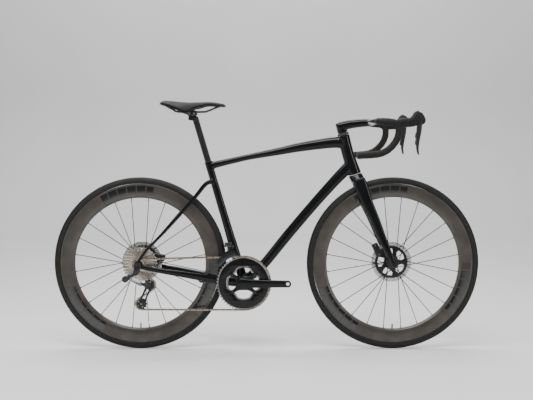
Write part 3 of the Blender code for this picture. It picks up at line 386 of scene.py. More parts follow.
def glide(stations, steps):
    """Stations with a smooth run of extra ones between each pair."""
    out = []
    last = len(stations) - 1
    for i in range(last):
        quad = [stations[max(i - 1, 0)], stations[i], stations[i + 1], stations[min(i + 2, last)]]
        for k in range(steps):
            t = k / steps
            row = []
            for a, b, c, d in zip(*quad):
                row.append(
                    0.5 * (
                        2 * b + (c - a) * t + (
                            2 * a - 5 * b + 4 * c - d
                        ) * t * t + (3 * b - a - 3 * c + d) * t**3
                    )
                )
            out.append(tuple(row))
    out.append(tuple(stations[last]))
    return out


def skin(bm, rings, closed=False, caps=True):
    loops = [[bm.verts.new(Vector(point) * MM) for point in ring] for ring in rings]
    pairs = list(zip(loops, loops[1:]))
    if closed:
        pairs.append((loops[-1], loops[0]))
    for first, second in pairs:
        for i in range(len(first)):
            j = (i + 1) % len(first)
            bm.faces.new((first[i], first[j], second[j], second[i]))
    if caps and not closed:
        bm.faces.new(list(reversed(loops[0])))
        bm.faces.new(loops[-1])


def tube_into(bm, stations, count=36, power=2.0, side=SIDE, steps=8, rounded=0.0, carried=False):
    """A smooth tube through stations (x, y, z, half_side, half_depth). Rounded draws the ends in."""
    rows = glide(stations, steps)
    centres = [Vector(row[:3]) for row in rows]
    rings = []
    for i, row in enumerate(rows):
        along = (centres[min(i + 1, len(rows) - 1)] - centres[max(i - 1, 0)]).normalized()
        if carried:
            side = (side - along * side.dot(along)).normalized()
        rings.append(ring_points(centres[i], along, row[3], row[4], count, power, side))
    if rounded:
        for end in (0, -1):
            row = rows[end]
            out = (centres[end] - centres[1 if end == 0 else -2]).normalized()
            extra = []
            for share in (0.35, 0.65, 0.85, 0.96):
                shrink = math.sqrt(1 - share**2)
                spot = centres[end] + out * rounded * share
                facing = out if end else -out
                extra.append(
                    ring_points(spot, facing, row[3] * shrink, row[4] * shrink, count, power, side)
                )
            rings = extra[::-1] + rings if end == 0 else rings + extra
    skin(bm, rings)


def flipped(stations, flip):
    """The same stations, with y times flip."""
    return [(s[0], s[1] * flip, *s[2:]) for s in stations]


def at_steer(height):
    return STEER_POINT + STEER_UP * ((height - STEER_POINT.z) / STEER_UP.z)


def at_seat(height):
    return BB + SEAT_UP * ((height - BB.z) / SEAT_UP.z)


def turned_into(bm, profile, centre, axis=SIDE, steps=48):
    """A profile of (radius, along) points turned round an axis through the centre."""
    axis = Vector(axis).normalized()
    start = Vector((1, 0, 0)) if abs(axis.x) < 0.9 else Vector((0, 0, 1))
    start = (start - axis * start.dot(axis)).normalized()
    other = axis.cross(start)
    rings = []
    for angle in turns(steps):
        out = start * math.cos(angle) + other * math.sin(angle)
        rings.append([Vector(centre) + out * r + axis * a for r, a in profile])
    skin(bm, rings, closed=True)


def turned(name, profile, centre, surface, axis=SIDE, steps=48, origin=None, smooth_angle=35.0):
    bm = bmesh.new()
    turned_into(bm, profile, centre, axis, steps)
    return to_object(name, bm, surface, smooth_angle, origin)


def fan(along, count):
    """Unit directions spread evenly round an axis."""
    other = Vector((0, 0, 1)) if abs(along.z) < 0.9 else Vector((1, 0, 0))
    first = (other - along * other.dot(along)).normalized()
    second = along.cross(first)
    return [first * math.cos(turn) + second * math.sin(turn) for turn in turns(count)]


def rod_into(bm, start, end, radius, segments=24, end_radius=None, chamfer=0.0):
    """A round rod from start to end, straight or tapered."""
    start = Vector(start)
    along = (Vector(end) - start).normalized()
    length = (Vector(end) - start).length
    stop_radius = radius if end_radius is None else end_radius
    rows = [(radius, 0.0), (stop_radius, length)]
    if chamfer:
        rows = [(radius - chamfer, 0.0), (radius, chamfer)]
        rows += [(stop_radius, length - chamfer), (stop_radius - chamfer, length)]
    spokes = fan(along, segments)
    skin(bm, [[start + along * a + spoke * r for spoke in spokes] for r, a in rows])


def bolt_into(bm, centre, outward, radius, height=2.5, socket=0.5):
    """A socket-head bolt: a chamfered head with a hexagonal recess."""
    outward = Vector(outward).normalized()
    rows = [(radius, 0.0), (radius, height - 0.5), (radius - 0.5, height)]
    recess = [(radius * socket, height), (radius * socket, height * 0.35)]
    hexagon = []
    for turn in turns(24):
        hexagon.append(math.cos(math.pi / 6) / math.cos((turn % (math.pi / 3)) - math.pi / 6))
    spokes = fan(outward, 24)
    rings = [[Vector(centre) + outward * a + spoke * r for spoke in spokes] for r, a in rows]
    for r, a in recess:
        rings.append([Vector(centre) + outward * a + spoke * (r * h) for spoke, h in zip(spokes, hexagon)])
    skin(bm, rings)


def box_into(bm, centre, size, along=(1, 0, 0), up=None, bevel=1.0, segments=3):
    """A box with rounded edges, its first side along a direction."""
    along = Vector(along).normalized()
    across = SIDE if up is None else Vector(up).cross(along).normalized()
    across = (across - along * across.dot(along)).normalized()
    lift = along.cross(across)
    turn = Matrix((along, across, lift)).transposed().to_4x4()
    scale = Matrix.Diagonal((size[0] * MM, size[1] * MM, size[2] * MM, 1.0))
    made = bmesh.ops.create_cube(
        bm, size=1.0, matrix=Matrix.Translation(Vector(centre) * MM) @ turn @ scale
    )
    if bevel:
        edges = list({edge for vert in made["verts"] for edge in vert.link_edges})
        bmesh.ops.bevel(bm, geom=edges, offset=bevel * MM, segments=segments, profile=0.5, affect="EDGES")


def plate_object(name, outlines, y, thickness, surface, bevel=0.25, origin=None, smooth_angle=30.0):
    """A flat plate across Y from closed outlines of (x, z) points; later outlines are holes."""
    curve = bpy.data.curves.new(name, "CURVE")
    curve.dimensions = "2D"
    curve.fill_mode = "BOTH"
    curve.extrude = max(thickness / 2 - bevel, 0.01) * MM
    curve.bevel_depth = bevel * MM
    curve.bevel_resolution = 1
    curve.offset = -bevel * MM
    centre = Vector(origin) if origin is not None else Vector((0, 0, 0))
    for outline in outlines:
        spline = curve.splines.new("POLY")
        spline.points.add(len(outline) - 1)
        spline.use_cyclic_u = True
        for point, (px, pz) in zip(spline.points, outline):
            point.co = ((px - centre.x) * MM, (pz - centre.z) * MM, 0, 1)
    helper = add(name, curve)
    bpy.context.view_layer.update()
    graph = bpy.context.evaluated_depsgraph_get()
    mesh = bpy.data.meshes.new_from_object(helper.evaluated_get(graph))
    bpy.data.objects.remove(helper)
    mesh.transform(Matrix.Translation((0, (y - centre.y) * MM, 0)) @ Matrix.Rotation(math.pi / 2, 4, "X"))
    bm = bmesh.new()
    bm.from_mesh(mesh)
    bmesh.ops.remove_doubles(bm, verts=bm.verts, dist=1e-6)
    bmesh.ops.recalc_face_normals(bm, faces=bm.faces)
    bm.to_mesh(mesh)
    bm.free()
    mesh.materials.clear()
    mesh.materials.append(surface.material)
    obj = add(name, mesh)
    shade(obj, smooth_angle)
    obj.location = centre * MM
    return obj


def merge(target, *others):
    """Joins other pieces' meshes into the first, keeping their materials."""
    for other in others:
        for material in other.data.materials:
            if material.name not in [m.name for m in target.data.materials]:
                target.data.materials.append(material)
    names = [m.name for m in target.data.materials]
    bm = bmesh.new()
    bm.from_mesh(target.data)
    for other in others:
        part = other.data
        part.transform(Matrix.Translation(other.location - target.location))
        count = len(bm.faces)
        bm.from_mesh(part)
        bm.faces.ensure_lookup_table()
        for face in bm.faces[count:]:
            slot = min(face.material_index, len(part.materials) - 1)
            face.material_index = names.index(part.materials[slot].name)
        bpy.data.objects.remove(other)
    bm.to_mesh(target.data)
    bm.free()
    return target


def melt(obj, voxel, rounds=6, factor=0.5):
    """Joins overlapping shapes into one skin with soft fillets."""
    remesh = obj.modifiers.new("skin", "REMESH")
    remesh.mode = "VOXEL"
    remesh.voxel_size = voxel * MM * 1.0
    remesh.use_smooth_shade = True
    smooth = obj.modifiers.new("soften", "SMOOTH")
    smooth.factor = factor
    smooth.iterations = rounds
    bake(obj)
    shade(obj)
    return obj


def cut(obj, start, end, radius, segments=48, own=False):
    """Takes a round hole out of a piece. Own also joins the piece's overlapping shells."""
    bm = bmesh.new()
    rod_into(bm, start, end, radius, segments)
    cutter = to_object("cutter", bm, PAINT)
    bpy.context.view_layer.update()
    boolean = obj.modifiers.new("cut", "BOOLEAN")
    boolean.operation = "DIFFERENCE"
    boolean.object = cutter
    boolean.use_self = own
    bake(obj)
    bpy.data.objects.remove(cutter)


def refinish(obj, surface, sharp_angle):
    """One material and fresh sharp edges, after a cut."""
    shade(obj, sharp_angle)
    obj.data.materials.clear()
    obj.data.materials.append(surface.material)


def fit(obj, body, nodes=()):
    obj.data.update()
    bpy.context.view_layer.update()
    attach(obj, body)
    if nodes:
        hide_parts(*nodes)
    return obj


# Frame
HEAD_TUBE = [
    (692, 27, 26, 0), (706, 26, 26, -1), (738, 21.5, 25, -3), (768, 20, 24, -4),
    (802, 20.5, 24, -3), (830, 23, 23.5, -1), (844, 23.5, 23.5, 0),
]
DOWN_TUBE = [
    (-78, 0, 278, 26, 20), (-15.6, 0, 329.7, 24, 19.5), (86, 0, 454.2, 21, 20.2),
    (186.6, 0, 572.9, 19, 20.3), (264.6, 0, 660.2, 18.5, 21.2), (307, 0, 705, 18, 22.4),
    (330, 0, 731, 17, 20),
]
TOP_TUBE = [
    (-222, 0, 724, 12, 15), (-180, 0, 734.6, 14, 13.6), (-120, 0, 748.4, 14.6, 12.6),
    (-65, 0, 760.5, 15, 12.4),
    (53, 0, 782.6, 16, 15.6), (131.8, 0, 798.2, 17, 18.4), (250, 0, 815.4, 18.5, 22), (302, 0, 816, 18, 23),
]
SEAT_TUBE = [
    (262, 18, 19), (373, 15, 18.5), (495, 13.8, 16.2), (598, 13, 15.5), (669, 13, 15), (742, 13.2, 15.4)
]
CHAINSTAY = [
    (-100, -27, 268, 9, 19), (-155, -28, 270, 8, 17), (-200, -31, 277, 8, 15), (-336, -55, 303, 7, 12),
    (-413, -67, 317, 6.5, 10), (-478, -75.3, 331, 3.7, 9), (-499, -75.3, 338, 3.7, 9),
]
SEATSTAY = [
    (-204, -8, 662, 6, 12), (-226, -14, 661, 6.5, 9.5), (-246, -19, 646, 6, 8.5),
    (-281, -27, 602, 5.5, 7.5),
    (-338, -40, 536, 5, 6.5), (-415, -58, 452, 4.5, 5.5), (-455, -68, 411, 4.5, 5),
    (-490, -75.2, 366, 3.7, 5.5),
    (-499, -75.2, 346, 3.7, 6),
]


def build_frame():
    bm = bmesh.new()
    rings = []
    for z, half_side, half_depth, back in glide(HEAD_TUBE, 5):
        centre = at_steer(z) + Vector((back, 0, 0))
        rings.append(ring_points(centre, STEER_UP, half_side, half_depth, 40, 2.0, SIDE))
    skin(bm, rings)
    tube_into(bm, DOWN_TUBE, 40, 2.6)
    tube_into(bm, TOP_TUBE, 40, 2.3)
    rings = []
    for z, half_side, half_depth in glide(SEAT_TUBE, 5):
        rings.append(ring_points(at_seat(z), SEAT_UP, half_side, half_depth, 36, 2.0, SIDE))
    skin(bm, rings)
    rod_into(bm, BB + SIDE * -42.5, BB + SIDE * 42.5, 24.3, 48, chamfer=1.2)
    for flip in (1, -1):
        tube_into(bm, flipped(CHAINSTAY, -flip), 24, 2.4, steps=6)
        tube_into(bm, flipped(SEATSTAY, -flip), 24, 2.2, steps=6)
        rod_into(bm, REAR_AXLE + SIDE * 71.4 * flip, REAR_AXLE + SIDE * 78.6 * flip, 14.4, 40, chamfer=0.8)
    shell = to_object("frame_shell", bm, PAINT)
    return melt(shell, 1.9, 9)


frame_shell = build_frame()
trim = bmesh.new()
for flip in (1, -1):
    rod_into(trim, REAR_AXLE + SIDE * 77.6 * flip, REAR_AXLE + SIDE * 78.9 * flip, 11.0, 36, chamfer=0.4)
dropout_faces = to_object("dropout_faces", trim, ANODISED)
collar = bmesh.new()
seal_rings = []
for height, grow in ((739.5, 0.0), (741.5, 0.0), (742.0, -0.6)):
    seal_rings.append(ring_points(at_seat(height), SEAT_UP, 12.6 + grow, 15.0 + grow, 36, 2.0, SIDE))
skin(collar, seal_rings)
seat_seal = to_object("seatpost_seal", collar, PLASTIC)
fit(frame_shell, "frame", ["frame"])
fit(dropout_faces, "frame", ())
fit(seat_seal, "frame", ())

# Bottom bracket cups
for side_name, flip in (("right", -1), ("left", 1)):
    bm = bmesh.new()
    low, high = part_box(f"bottom_bracket_{side_name}")
    reach = (high.x - low.x) / 2 / MM
    inner_y = min(abs(low.y), abs(high.y)) / MM
    outer_y = max(abs(low.y), abs(high.y)) / MM
    bore = 12.6
    profile = [
        (bore, inner_y), (reach - 0.4, inner_y), (reach - 0.1, inner_y + 0.5), (reach - 0.1, outer_y - 0.8)
    ]
    profile += [(reach - 0.9, outer_y), (16.5, outer_y), (15.8, outer_y - 0.5), (bore, outer_y - 0.5)]
    turned_into(bm, [(r, a * flip) for r, a in profile], BB, SIDE, 64)
    cup = to_object(f"bottom_bracket_cup_{side_name}", bm, ANODISED, 30)
    fit(cup, "frame", [f"bottom_bracket_{side_name}"])

# Fork with crown, legs and ends
FORK_LEG = [
    (362, -29, 672, 13, 24), (371.5, -35, 643, 12.5, 26), (392, -40, 585, 11, 23.2),
    (423, -45, 515, 9.5, 19.8),
    (449.4, -50, 449, 8.5, 17), (467.7, -53.5, 406, 7.5, 14.5), (487, -56, 362, 6, 11.5),
    (497, -56, 338, 6, 9.5),
    (500, -56, 331, 4.5, 6),
]
CROWN = [(690.6, 26.8, 25.8, 0), (680, 33, 27.5, 2), (664, 41, 27.5, 5)]


def build_fork():
    bm = bmesh.new()
    rings = []
    for z, half_side, half_depth, ahead in glide(CROWN, 6):
        centre = at_steer(z) + Vector((ahead, 0, 0))
        rings.append(ring_points(centre, STEER_UP, half_side, half_depth, 44, 2.4, SIDE))
    skin(bm, rings)
    for flip in (1, -1):
        tube_into(bm, flipped(FORK_LEG, -flip), 36, 2.2, steps=8)
        rod_into(
            bm, FRONT_AXLE + SIDE * 50.4 * flip, FRONT_AXLE + SIDE * 61.6 * flip, 10.8, 36, chamfer=0.8
        )
    shell = to_object("fork_shell", bm, PAINT)
    cut(shell, FRONT_AXLE + SIDE * -19, FRONT_AXLE + SIDE * 19, 348.6, 160, own=True)
    return melt(shell, 1.8, 8)


fork_shell = build_fork()
fit(fork_shell, "fork", ["fork"])
steerer = bmesh.new()
rod_into(steerer, at_steer(693), at_steer(892), 14.1, 32)
fit(to_object("steerer_tube", steerer, POST), "fork", ())

cover_profile = [(15.0, -9.4), (22.9, -9.4), (23.0, -8.4), (22.4, -3.6), (21.2, -0.8), (15.0, -0.8)]
headset = turned("headset_top_cover", cover_profile, STEER_POINT, PLASTIC, STEER_UP, 64)
fit(headset, "fork", ["headset_cover"])

# One-piece stem and bar
STEM = [
    (276, 0, 873, 15, 13), (283, 0, 876, 19.5, 18.5), (300, 0, 881, 20.5, 19), (329, 0, 887.5, 19, 17.5),
    (368, 0, 892, 18, 16.2), (400, 0, 894, 22, 15), (424, 0, 895.5, 22, 11), (431, 0, 895.5, 18, 7),
]
BAR = [
    (411, 0, 895, 17, 12), (409, 40, 895.5, 18.5, 10.5), (406, 90, 896, 19, 10), (410, 130, 896, 17, 10),
    (421, 163, 895, 13.5, 10.5), (443, 186, 893.5, 11, 11), (468, 196, 891, 11, 11),
    (486, 199, 884, 11, 11),
    (493, 200, 868, 11, 11), (492, 201, 845, 11, 11), (483, 202, 821, 11, 11), (467, 203, 800, 11, 11),
    (448, 204, 784, 11, 11), (424, 205, 773.5, 11, 11), (394, 206, 769, 11, 11), (340, 208, 766, 11, 11),
]


def build_bar():
    bm = bmesh.new()
    tube_into(bm, STEM, 40, 2.5, steps=8)
    rod_into(bm, at_steer(854.2), at_steer(885.8), 19.4, 48, chamfer=1.0)
    for flip in (1, -1):
        tube_into(bm, flipped(BAR[:7], flip), 32, 2.0, Vector((1, 0, 0)), 6, carried=True)
    shell = to_object("bar_shell", bm, PAINT)
    return melt(shell, 1.6, 6)


bar_shell = build_bar()
fit(bar_shell, "fork", ["handlebar"])
cap = bmesh.new()
low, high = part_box("steerer_plug")
cap_profile = [(0.5, -2.0), (13.8, -2.0), (14.2, -1.2), (14.2, 1.0)]
cap_profile += [(12.8, 1.8), (5.2, 1.9), (4.6, 1.2), (0.5, 1.2)]
turned_into(cap, cap_profile, at_steer(high.z / MM - 3.2), STEER_UP, 48)
bolt_into(cap, at_steer(high.z / MM - 3.0), STEER_UP, 4.2, 2.0, 0.55)
plug = to_object("steerer_top_plug", cap, ANODISED, 30)
fit(plug, "fork", ["steerer_plug"])
bolts = bmesh.new()
for lift in (860, 876):
    spot = at_steer(lift) + Vector((-18.6, 0, 0))
    bolt_into(bolts, spot + SIDE * 6.5, (-1, 0.05, 0.1), 2.4, 1.6)
fit(to_object("stem_bolts", bolts, BOLT), "fork", ())


# Wrapped tape: overlapping turns along the outer part of each half
def wrap_tape(name, half):
    rows = glide(half, 14)
    centres = [Vector(row[:3]) for row in rows]
    side = Vector((1.0, 0.0, 0.0))
    rings = []
    travelled = 0.0
    start = 14 * 4
    count = 36
    for i, row in enumerate(rows):
        along = (centres[min(i + 1, len(rows) - 1)] - centres[max(i - 1, 0)]).normalized()
        side = (side - along * side.dot(along)).normalized()
        if i:
            travelled += (centres[i] - centres[i - 1]).length
        if i < start:
            continue
        depth = along.cross(side)
        ring = []
        for k in range(count):
            angle = 2 * math.pi * (k + 0.5) / count
            phase = (travelled / 21.0 + k / count) % 1.0
            grow = 1.0 + 1.5 * min(phase / 0.09, 1.0) * (1.0 - 0.45 * phase)
            if i == start:
                grow = 0.8
            ring.append(
                centres[i]
                + side * (row[3] + grow) * math.cos(angle)
                + depth * (row[4] + grow) * math.sin(angle)
            )
        rings.append(ring)
    bm = bmesh.new()
    skin(bm, rings)
    return to_object(name, bm, TAPE, 60)


for side_name, flip in (("left", 1), ("right", -1)):
    tape = wrap_tape(f"wrapped_tape_{side_name}", flipped(BAR, flip))
    fit(tape, "fork", [f"bar_tape_{side_name}"])
    bm = bmesh.new()
    spot = Vector(BAR[4][:3])
    band_rings = []
    direction = (Vector(BAR[5][:3]) - Vector(BAR[3][:3])).normalized()
    for step, grow in ((-5, 1.5), (-4.6, 2.0), (4.6, 2.0), (5, 1.5)):
        centre = spot + direction * step
        points = ring_points(centre, direction, 13.5 + grow, 10.5 + grow, 36, 2.0, Vector((1, 0, 0)))
        band_rings.append([Vector((p.x, p.y * flip, p.z)) for p in points])
    skin(bm, band_rings)
    fit(to_object(f"tape_band_{side_name}", bm, PLASTIC, 30), "fork", ())
    bm = bmesh.new()
    turned_into(
        bm,
        [
            (0.2, 0.0), (10.9, 0.0), (12.6, -0.7), (12.9, -1.6), (12.0, -3.2), (9.0, -3.9), (8.0, -3.4),
            (0.2, -3.3)
        ],
        (339.6, flip * 208, 766),
        (1, -0.02 * flip, 0.05),
        40,
    )
    fit(
        to_object(f"end_plug_{side_name}", bm, PLASTIC, 30), "fork", [f"bar_end_plug_{side_name}"],
    )

# Hoods, levers and buttons
HOOD = [
    (492, 199, 886.5, 14.6, 16.5), (506, 199.3, 888, 15.4, 17.2), (524, 199.4, 889, 15.6, 17.2),
    (540, 199, 891, 15.0, 18.2), (555, 198.5, 898, 14.0, 22.0), (566, 198, 905, 12.8, 27.5),
    (577, 197.5, 908.5, 10.8, 26.5), (585, 197.5, 913, 6.8, 17.0),
]
LEVER = [
    (578.5, 200, 905, 6.5, 5.0), (574, 200, 893, 7.6, 7.4), (570, 200, 878, 8.0, 9.4),
    (568.5, 200, 862, 7.4, 9.8), (567, 200, 846, 6.6, 8.8), (564.3, 200.5, 826, 5.8, 7.2),
    (562.6, 201, 806, 5.4, 5.6), (562.6, 201.5, 790, 5.0, 4.3), (566, 202, 771, 4.4, 2.8),
]


for side_name, flip in (("left", 1), ("right", -1)):
    bm = bmesh.new()
    tube_into(bm, flipped(HOOD, flip), 40, 2.3, steps=8, rounded=3.0)
    hood = to_object(f"hood_cover_{side_name}", bm, HOOD_RUBBER)
    melt(hood, 1.3, 5)
    fit(hood, "fork", [f"lever_hood_{side_name}"])
    ribs = bmesh.new()
    for k in range(7):
        x = 506 + 6.0 * k
        z = 888.5 + 0.06 * (x - 500)
        rib = [(x, flip * 199.3, z, 15.9, 17.7), (x + 2.0, flip * 199.3, z + 0.1, 15.9, 17.7)]
        tube_into(ribs, rib, 40, 2.3, steps=1)
    fit(to_object(f"hood_ribs_{side_name}", ribs, HOOD_RUBBER, 30), "fork", ())
    bm = bmesh.new()
    tube_into(bm, flipped(LEVER, flip), 28, 2.6, steps=9, rounded=2.0)
    blade = to_object(f"lever_blade_{side_name}", bm, MATT, 40)
    fit(blade, f"brake_lever_{side_name}", [f"brake_lever_{side_name}"])
    # A grey metal strip along the front edge of the blade: a painted highlight.
    bm = bmesh.new()
    edge = [(s[0] + s[4] * 0.9, s[1] * flip, s[2], s[3] * 0.6, 1.3) for s in LEVER[1:]]
    tube_into(bm, edge, 16, 2.0, steps=9, rounded=0.8)
    fit(to_object(f"lever_painted_highlight_{side_name}", bm, GREY, 40), f"brake_lever_{side_name}", ())
    bm = bmesh.new()
    bolt_into(bm, (570, flip * 206.2, 868), (0, flip, 0), 2.6, 1.2)
    fit(to_object(f"lever_pivot_{side_name}", bm, BOLT, 30), f"brake_lever_{side_name}", ())
    for way in ("up", "down"):
        node = f"shift_button_{way}_{side_name}"
        low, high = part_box(node)
        middle = (low + high) / 2 / MM
        half = (high - low) / 2 / MM
        bm = bmesh.new()
        rows = []
        for share in (-0.93, -0.6, 0.0, 0.6, 0.93):
            narrow = 1.0 - 0.35 * abs(share) ** 3
            rows.append((
                middle.x + half.x * 0.25 * share,
                middle.y,
                middle.z + half.z * share,
                half.y * 0.9 * narrow,
                half.x * 0.66 * narrow,
            ))
        tube_into(bm, rows, 24, 3.0, steps=5, rounded=0.4)
        for notch in (-0.3, 0.0, 0.3):
            spot = Vector((middle.x, middle.y + flip * half.y * 0.72, middle.z + half.z * notch))
            box_into(bm, spot, (half.x * 0.9, 0.8, 0.9), bevel=0.2, segments=1)
        fit(to_object(f"{way}_button_{side_name}", bm, PLASTIC, 35), node, [node])


# Wheels
def build_tyre(name, axle):
    outer = [
        (315.6, 12.4), (317.2, 13.4), (320.5, 14.15), (324.0, 14.3), (327.5, 13.7), (330.4, 12.55),
        (330.9, 12.0),
        (333.6, 10.3), (336.2, 7.7), (338.2, 4.8), (339.4, 2.3), (339.5, 1.2), (339.75, 0.9), (339.8, 0.0),
    ]
    profile = outer + [(r, -y) for r, y in reversed(outer[:-1])]
    profile += [(315.6, -9.6), (326.0, -9.4), (336.2, 0.0), (326.0, 9.4), (315.6, 9.6)]
    bm = bmesh.new()
    turned_into(bm, profile, axle, SIDE, 192)
    tyre = to_object(name, bm, TYRE_RUBBER, 50, axle)
    # Short slanted strips on the tread in darker rubber: painted shade standing for the tread grooves.
    grooves = bmesh.new()
    pairs = 44
    for k in range(pairs):
        for flip in (1, -1):
            angle = 2 * math.pi * (k + (0.25 if flip > 0 else 0.75)) / pairs
            rows = []
            for y, r, slant in ((4.6, 338.25, 0.0), (7.2, 336.55, 0.011), (9.8, 334.1, 0.020)):
                rows.append((*around(axle, r + 0.12, angle + slant, flip * y), 0.55, 0.35))
            tube_into(grooves, rows, 6, 2.0, Vector((math.cos(angle), 0, math.sin(angle))), 2)
    return tyre, to_object(name + "_tread", grooves, GROOVE_SHADE, 60, axle)


def build_rim(name, axle, inner):
    half = [
        (inner + 0.2, 3.6), (inner + 1.3, 6.1), (inner + 4.5, 8.9), (inner + 10, 11.2), (inner + 18, 12.8),
        (inner + 28, 13.6), (inner + 38, 13.8), (303.5, 13.7), (309.5, 13.35), (313.6, 13.0), (314.6, 12.4),
        (314.8, 11.4),
    ]
    profile = half + [(r, -y) for r, y in reversed(half)]
    bm = bmesh.new()
    turned_into(bm, profile, axle, SIDE, 192)
    return to_object(name, bm, RIM_FIBRE, 50, axle)


# A spoke's half thickness and half width along its run: round ends and a flat blade between.
SPOKE_SHAPE = [
    (0.0, 1.0, 1.0), (0.05, 0.9, 1.0), (0.10, 0.5, 1.5), (0.90, 0.5, 1.5), (0.95, 0.9, 1.0),
    (1.0, 0.95, 0.95)
]
SPOKE_LEAN = math.radians(52)


def build_spokes(name, axle, flanges, rim_radius, hub_radius):
    bm = bmesh.new()
    nipples = bmesh.new()
    for k in range(24):
        leans_back = (k // 2) % 2
        flange_y = flanges[k % 2] + (1.3 if leans_back else -1.3)
        rim_angle = 2 * math.pi * (k + 0.5) / 24
        hub_angle = rim_angle + (SPOKE_LEAN if leans_back else -SPOKE_LEAN)
        start = around(axle, hub_radius, hub_angle, flange_y)
        end = around(axle, rim_radius, rim_angle, flange_y * 0.1)
        run = end - start
        rows = [(*(start + run * share), thin, wide) for share, thin, wide in SPOKE_SHAPE]
        tube_into(bm, rows, 12, 2.0, SIDE, 2)
        rod_into(nipples, end - run.normalized() * 10, end + run.normalized() * 2, 1.9, 10, chamfer=0.3)
        outward = SIDE * math.copysign(1, flange_y)
        bolt_into(nipples, start - run.normalized() * 3 - outward * 0.6, outward, 2.2, 1.1, 0.3)
    spokes = to_object(name, bm, SPOKE, 40, axle)
    return merge(spokes, to_object(name + "_nipples", nipples, ANODISED, 35, axle))


def build_valve(name, axle, inner, degrees):
    out = around(Vector(), 1.0, math.radians(degrees), 0)
    bm = bmesh.new()
    rod_into(bm, axle + out * (inner - 15), axle + out * (inner + 3), 2.9, 16, chamfer=0.4)
    rod_into(bm, axle + out * (inner - 19), axle + out * (inner - 14.5), 2.2, 16, 2.9, chamfer=0.3)
    valve = to_object(name, bm, ANODISED, 35, axle)
    bm = bmesh.new()
    rod_into(bm, axle + out * (inner - 2.2), axle + out * (inner + 1.5), 4.6, 6, chamfer=0.4)
    return merge(valve, to_object(name + "_nut", bm, GREY, 35, axle))


def build_rotor(end_name, axle, y):
    centre = (axle.x, axle.z)
    outer = [polar(centre, 80.0 - 0.9 * (0.5 + 0.5 * math.cos(12 * turn)), turn) for turn in turns(144)]
    inner = [polar(centre, 63.6 + 0.8 * math.cos(12 * turn), turn) for turn in turns(144)]
    holes = []
    for k in range(36):
        for radius, shift in ((75.2, 0.0), (71.6, 0.33), (68.0, 0.66)):
            holes.append(circle(polar(centre, radius, 2 * math.pi * (k + shift) / 36), 1.35, 10))
    track = plate_object(f"{end_name}_rotor_track", [outer, inner, *holes], y, 1.8, STEEL, 0.12, axle)
    windows = []
    for base in turns(5):
        corners = ((9, 31), (11, 44), (15, 54), (36, 55.5), (57, 54), (61, 44), (50, 33), (30, 30))
        windows.append([polar(centre, radius, base + math.radians(step)) for step, radius in corners])
    outlines = [circle(centre, 65.2, 120), circle(centre, 17.5, 48), *windows]
    carrier = plate_object(f"{end_name}_rotor_carrier", outlines, y, 2.0, CARRIER, 0.3, axle)
    rivets = bmesh.new()
    for base in turns(5):
        spot = around(axle, 65, base + math.radians(15), y)
        rod_into(rivets, spot + SIDE * -1.3, spot + SIDE * 1.3, 3.0, 20, chamfer=0.3)
    pins = to_object(f"{end_name}_rotor_rivets", rivets, GREY, 30, axle)
    # The ring that locks the rotor on, notched round its rim.
    bm = bmesh.new()
    turned_into(
        bm, [(8.8, 1.2), (20.5, 1.2), (20.9, 1.8), (20.4, 3.2), (12.0, 3.7), (8.8, 3.4)], axle + SIDE * y,
        SIDE, 64
    )
    for turn in turns(18):
        spot = around(axle, 19.6, turn, y + 3.0)
        box_into(bm, spot, (2.6, 1.4, 2.2), (math.cos(turn), 0, math.sin(turn)), bevel=0.3, segments=1)
    ring = to_object(f"{end_name}_rotor_lockring", bm, ANODISED, 30, axle)
    return merge(track, carrier, pins, ring)


FRONT_HUB = [
    (6.4, -49.5), (9.0, -49.5), (9.4, -49.0), (9.5, -43), (10.4, -42.4), (10.6, -39.4), (14.0, -38.2),
    (19.2, -37.0),
    (19.9, -36.2), (19.9, -33.8), (19.2, -33.0), (15.0, -31.4), (12.9, -28.5), (12.2, -24), (11.2, -8),
    (11.2, 2),
    (12.3, 13), (14.0, 18), (18.5, 20.3), (21.2, 20.7), (21.8, 21.4), (21.8, 23.8), (21.2, 24.5),
    (18.2, 26.4),
    (16.9, 27.6), (16.8, 38.3), (16.6, 43), (11.0, 43.8), (9.6, 45), (9.4, 49.5), (6.4, 49.5),
]
REAR_HUB = [
    (6.4, -70.5), (8.4, -70.5), (8.5, -22), (17, -21.5), (23.8, -20.5), (24.8, -19.6), (24.8, -17.3),
    (23.8, -16.5),
    (19.0, -14.8), (15.6, -11.8), (14.2, -6), (13.4, 4), (13.4, 14), (14.6, 22), (17.0, 26), (21.4, 27.8),
    (22.8, 28.8), (22.8, 31.8), (21.6, 32.7), (18.4, 34.2), (16.9, 35.6), (16.8, 54.4), (16.6, 59.2),
    (11.0, 60),
    (9.6, 61.4), (9.4, 70.5), (6.4, 70.5),
]
for end_name, axle, inner, hub_profile, flanges, rotor_y, body in (
    ("front", FRONT_AXLE, 261.0, FRONT_HUB, (-35, 22.5), 39.6, "front_wheel"),
    ("rear", REAR_AXLE, 258.0, REAR_HUB, (-18.5, 30), 55.7, "rear_wheel"),
):
    tyre, tread = build_tyre(f"{end_name}_tyre_skin", axle)
    fit(tyre, body, [f"{end_name}_tyre"])
    fit(tread, body, ())
    fit(build_rim(f"{end_name}_deep_rim", axle, inner), body, [f"{end_name}_rim"])
    fit(build_valve(f"{end_name}_valve", axle, inner, 270), body, ())
    hub = turned(f"{end_name}_hub_shell", hub_profile, axle, MATT, SIDE, 72, axle, 32)
    spokes = build_spokes(f"{end_name}_spokes", axle, flanges, inner + 0.5, 18)
    fit(merge(hub, spokes), body, [f"{end_name}_hub_and_spokes"])
    fit(build_rotor(end_name, axle, rotor_y), body, [f"{end_name}_brake_rotor"])

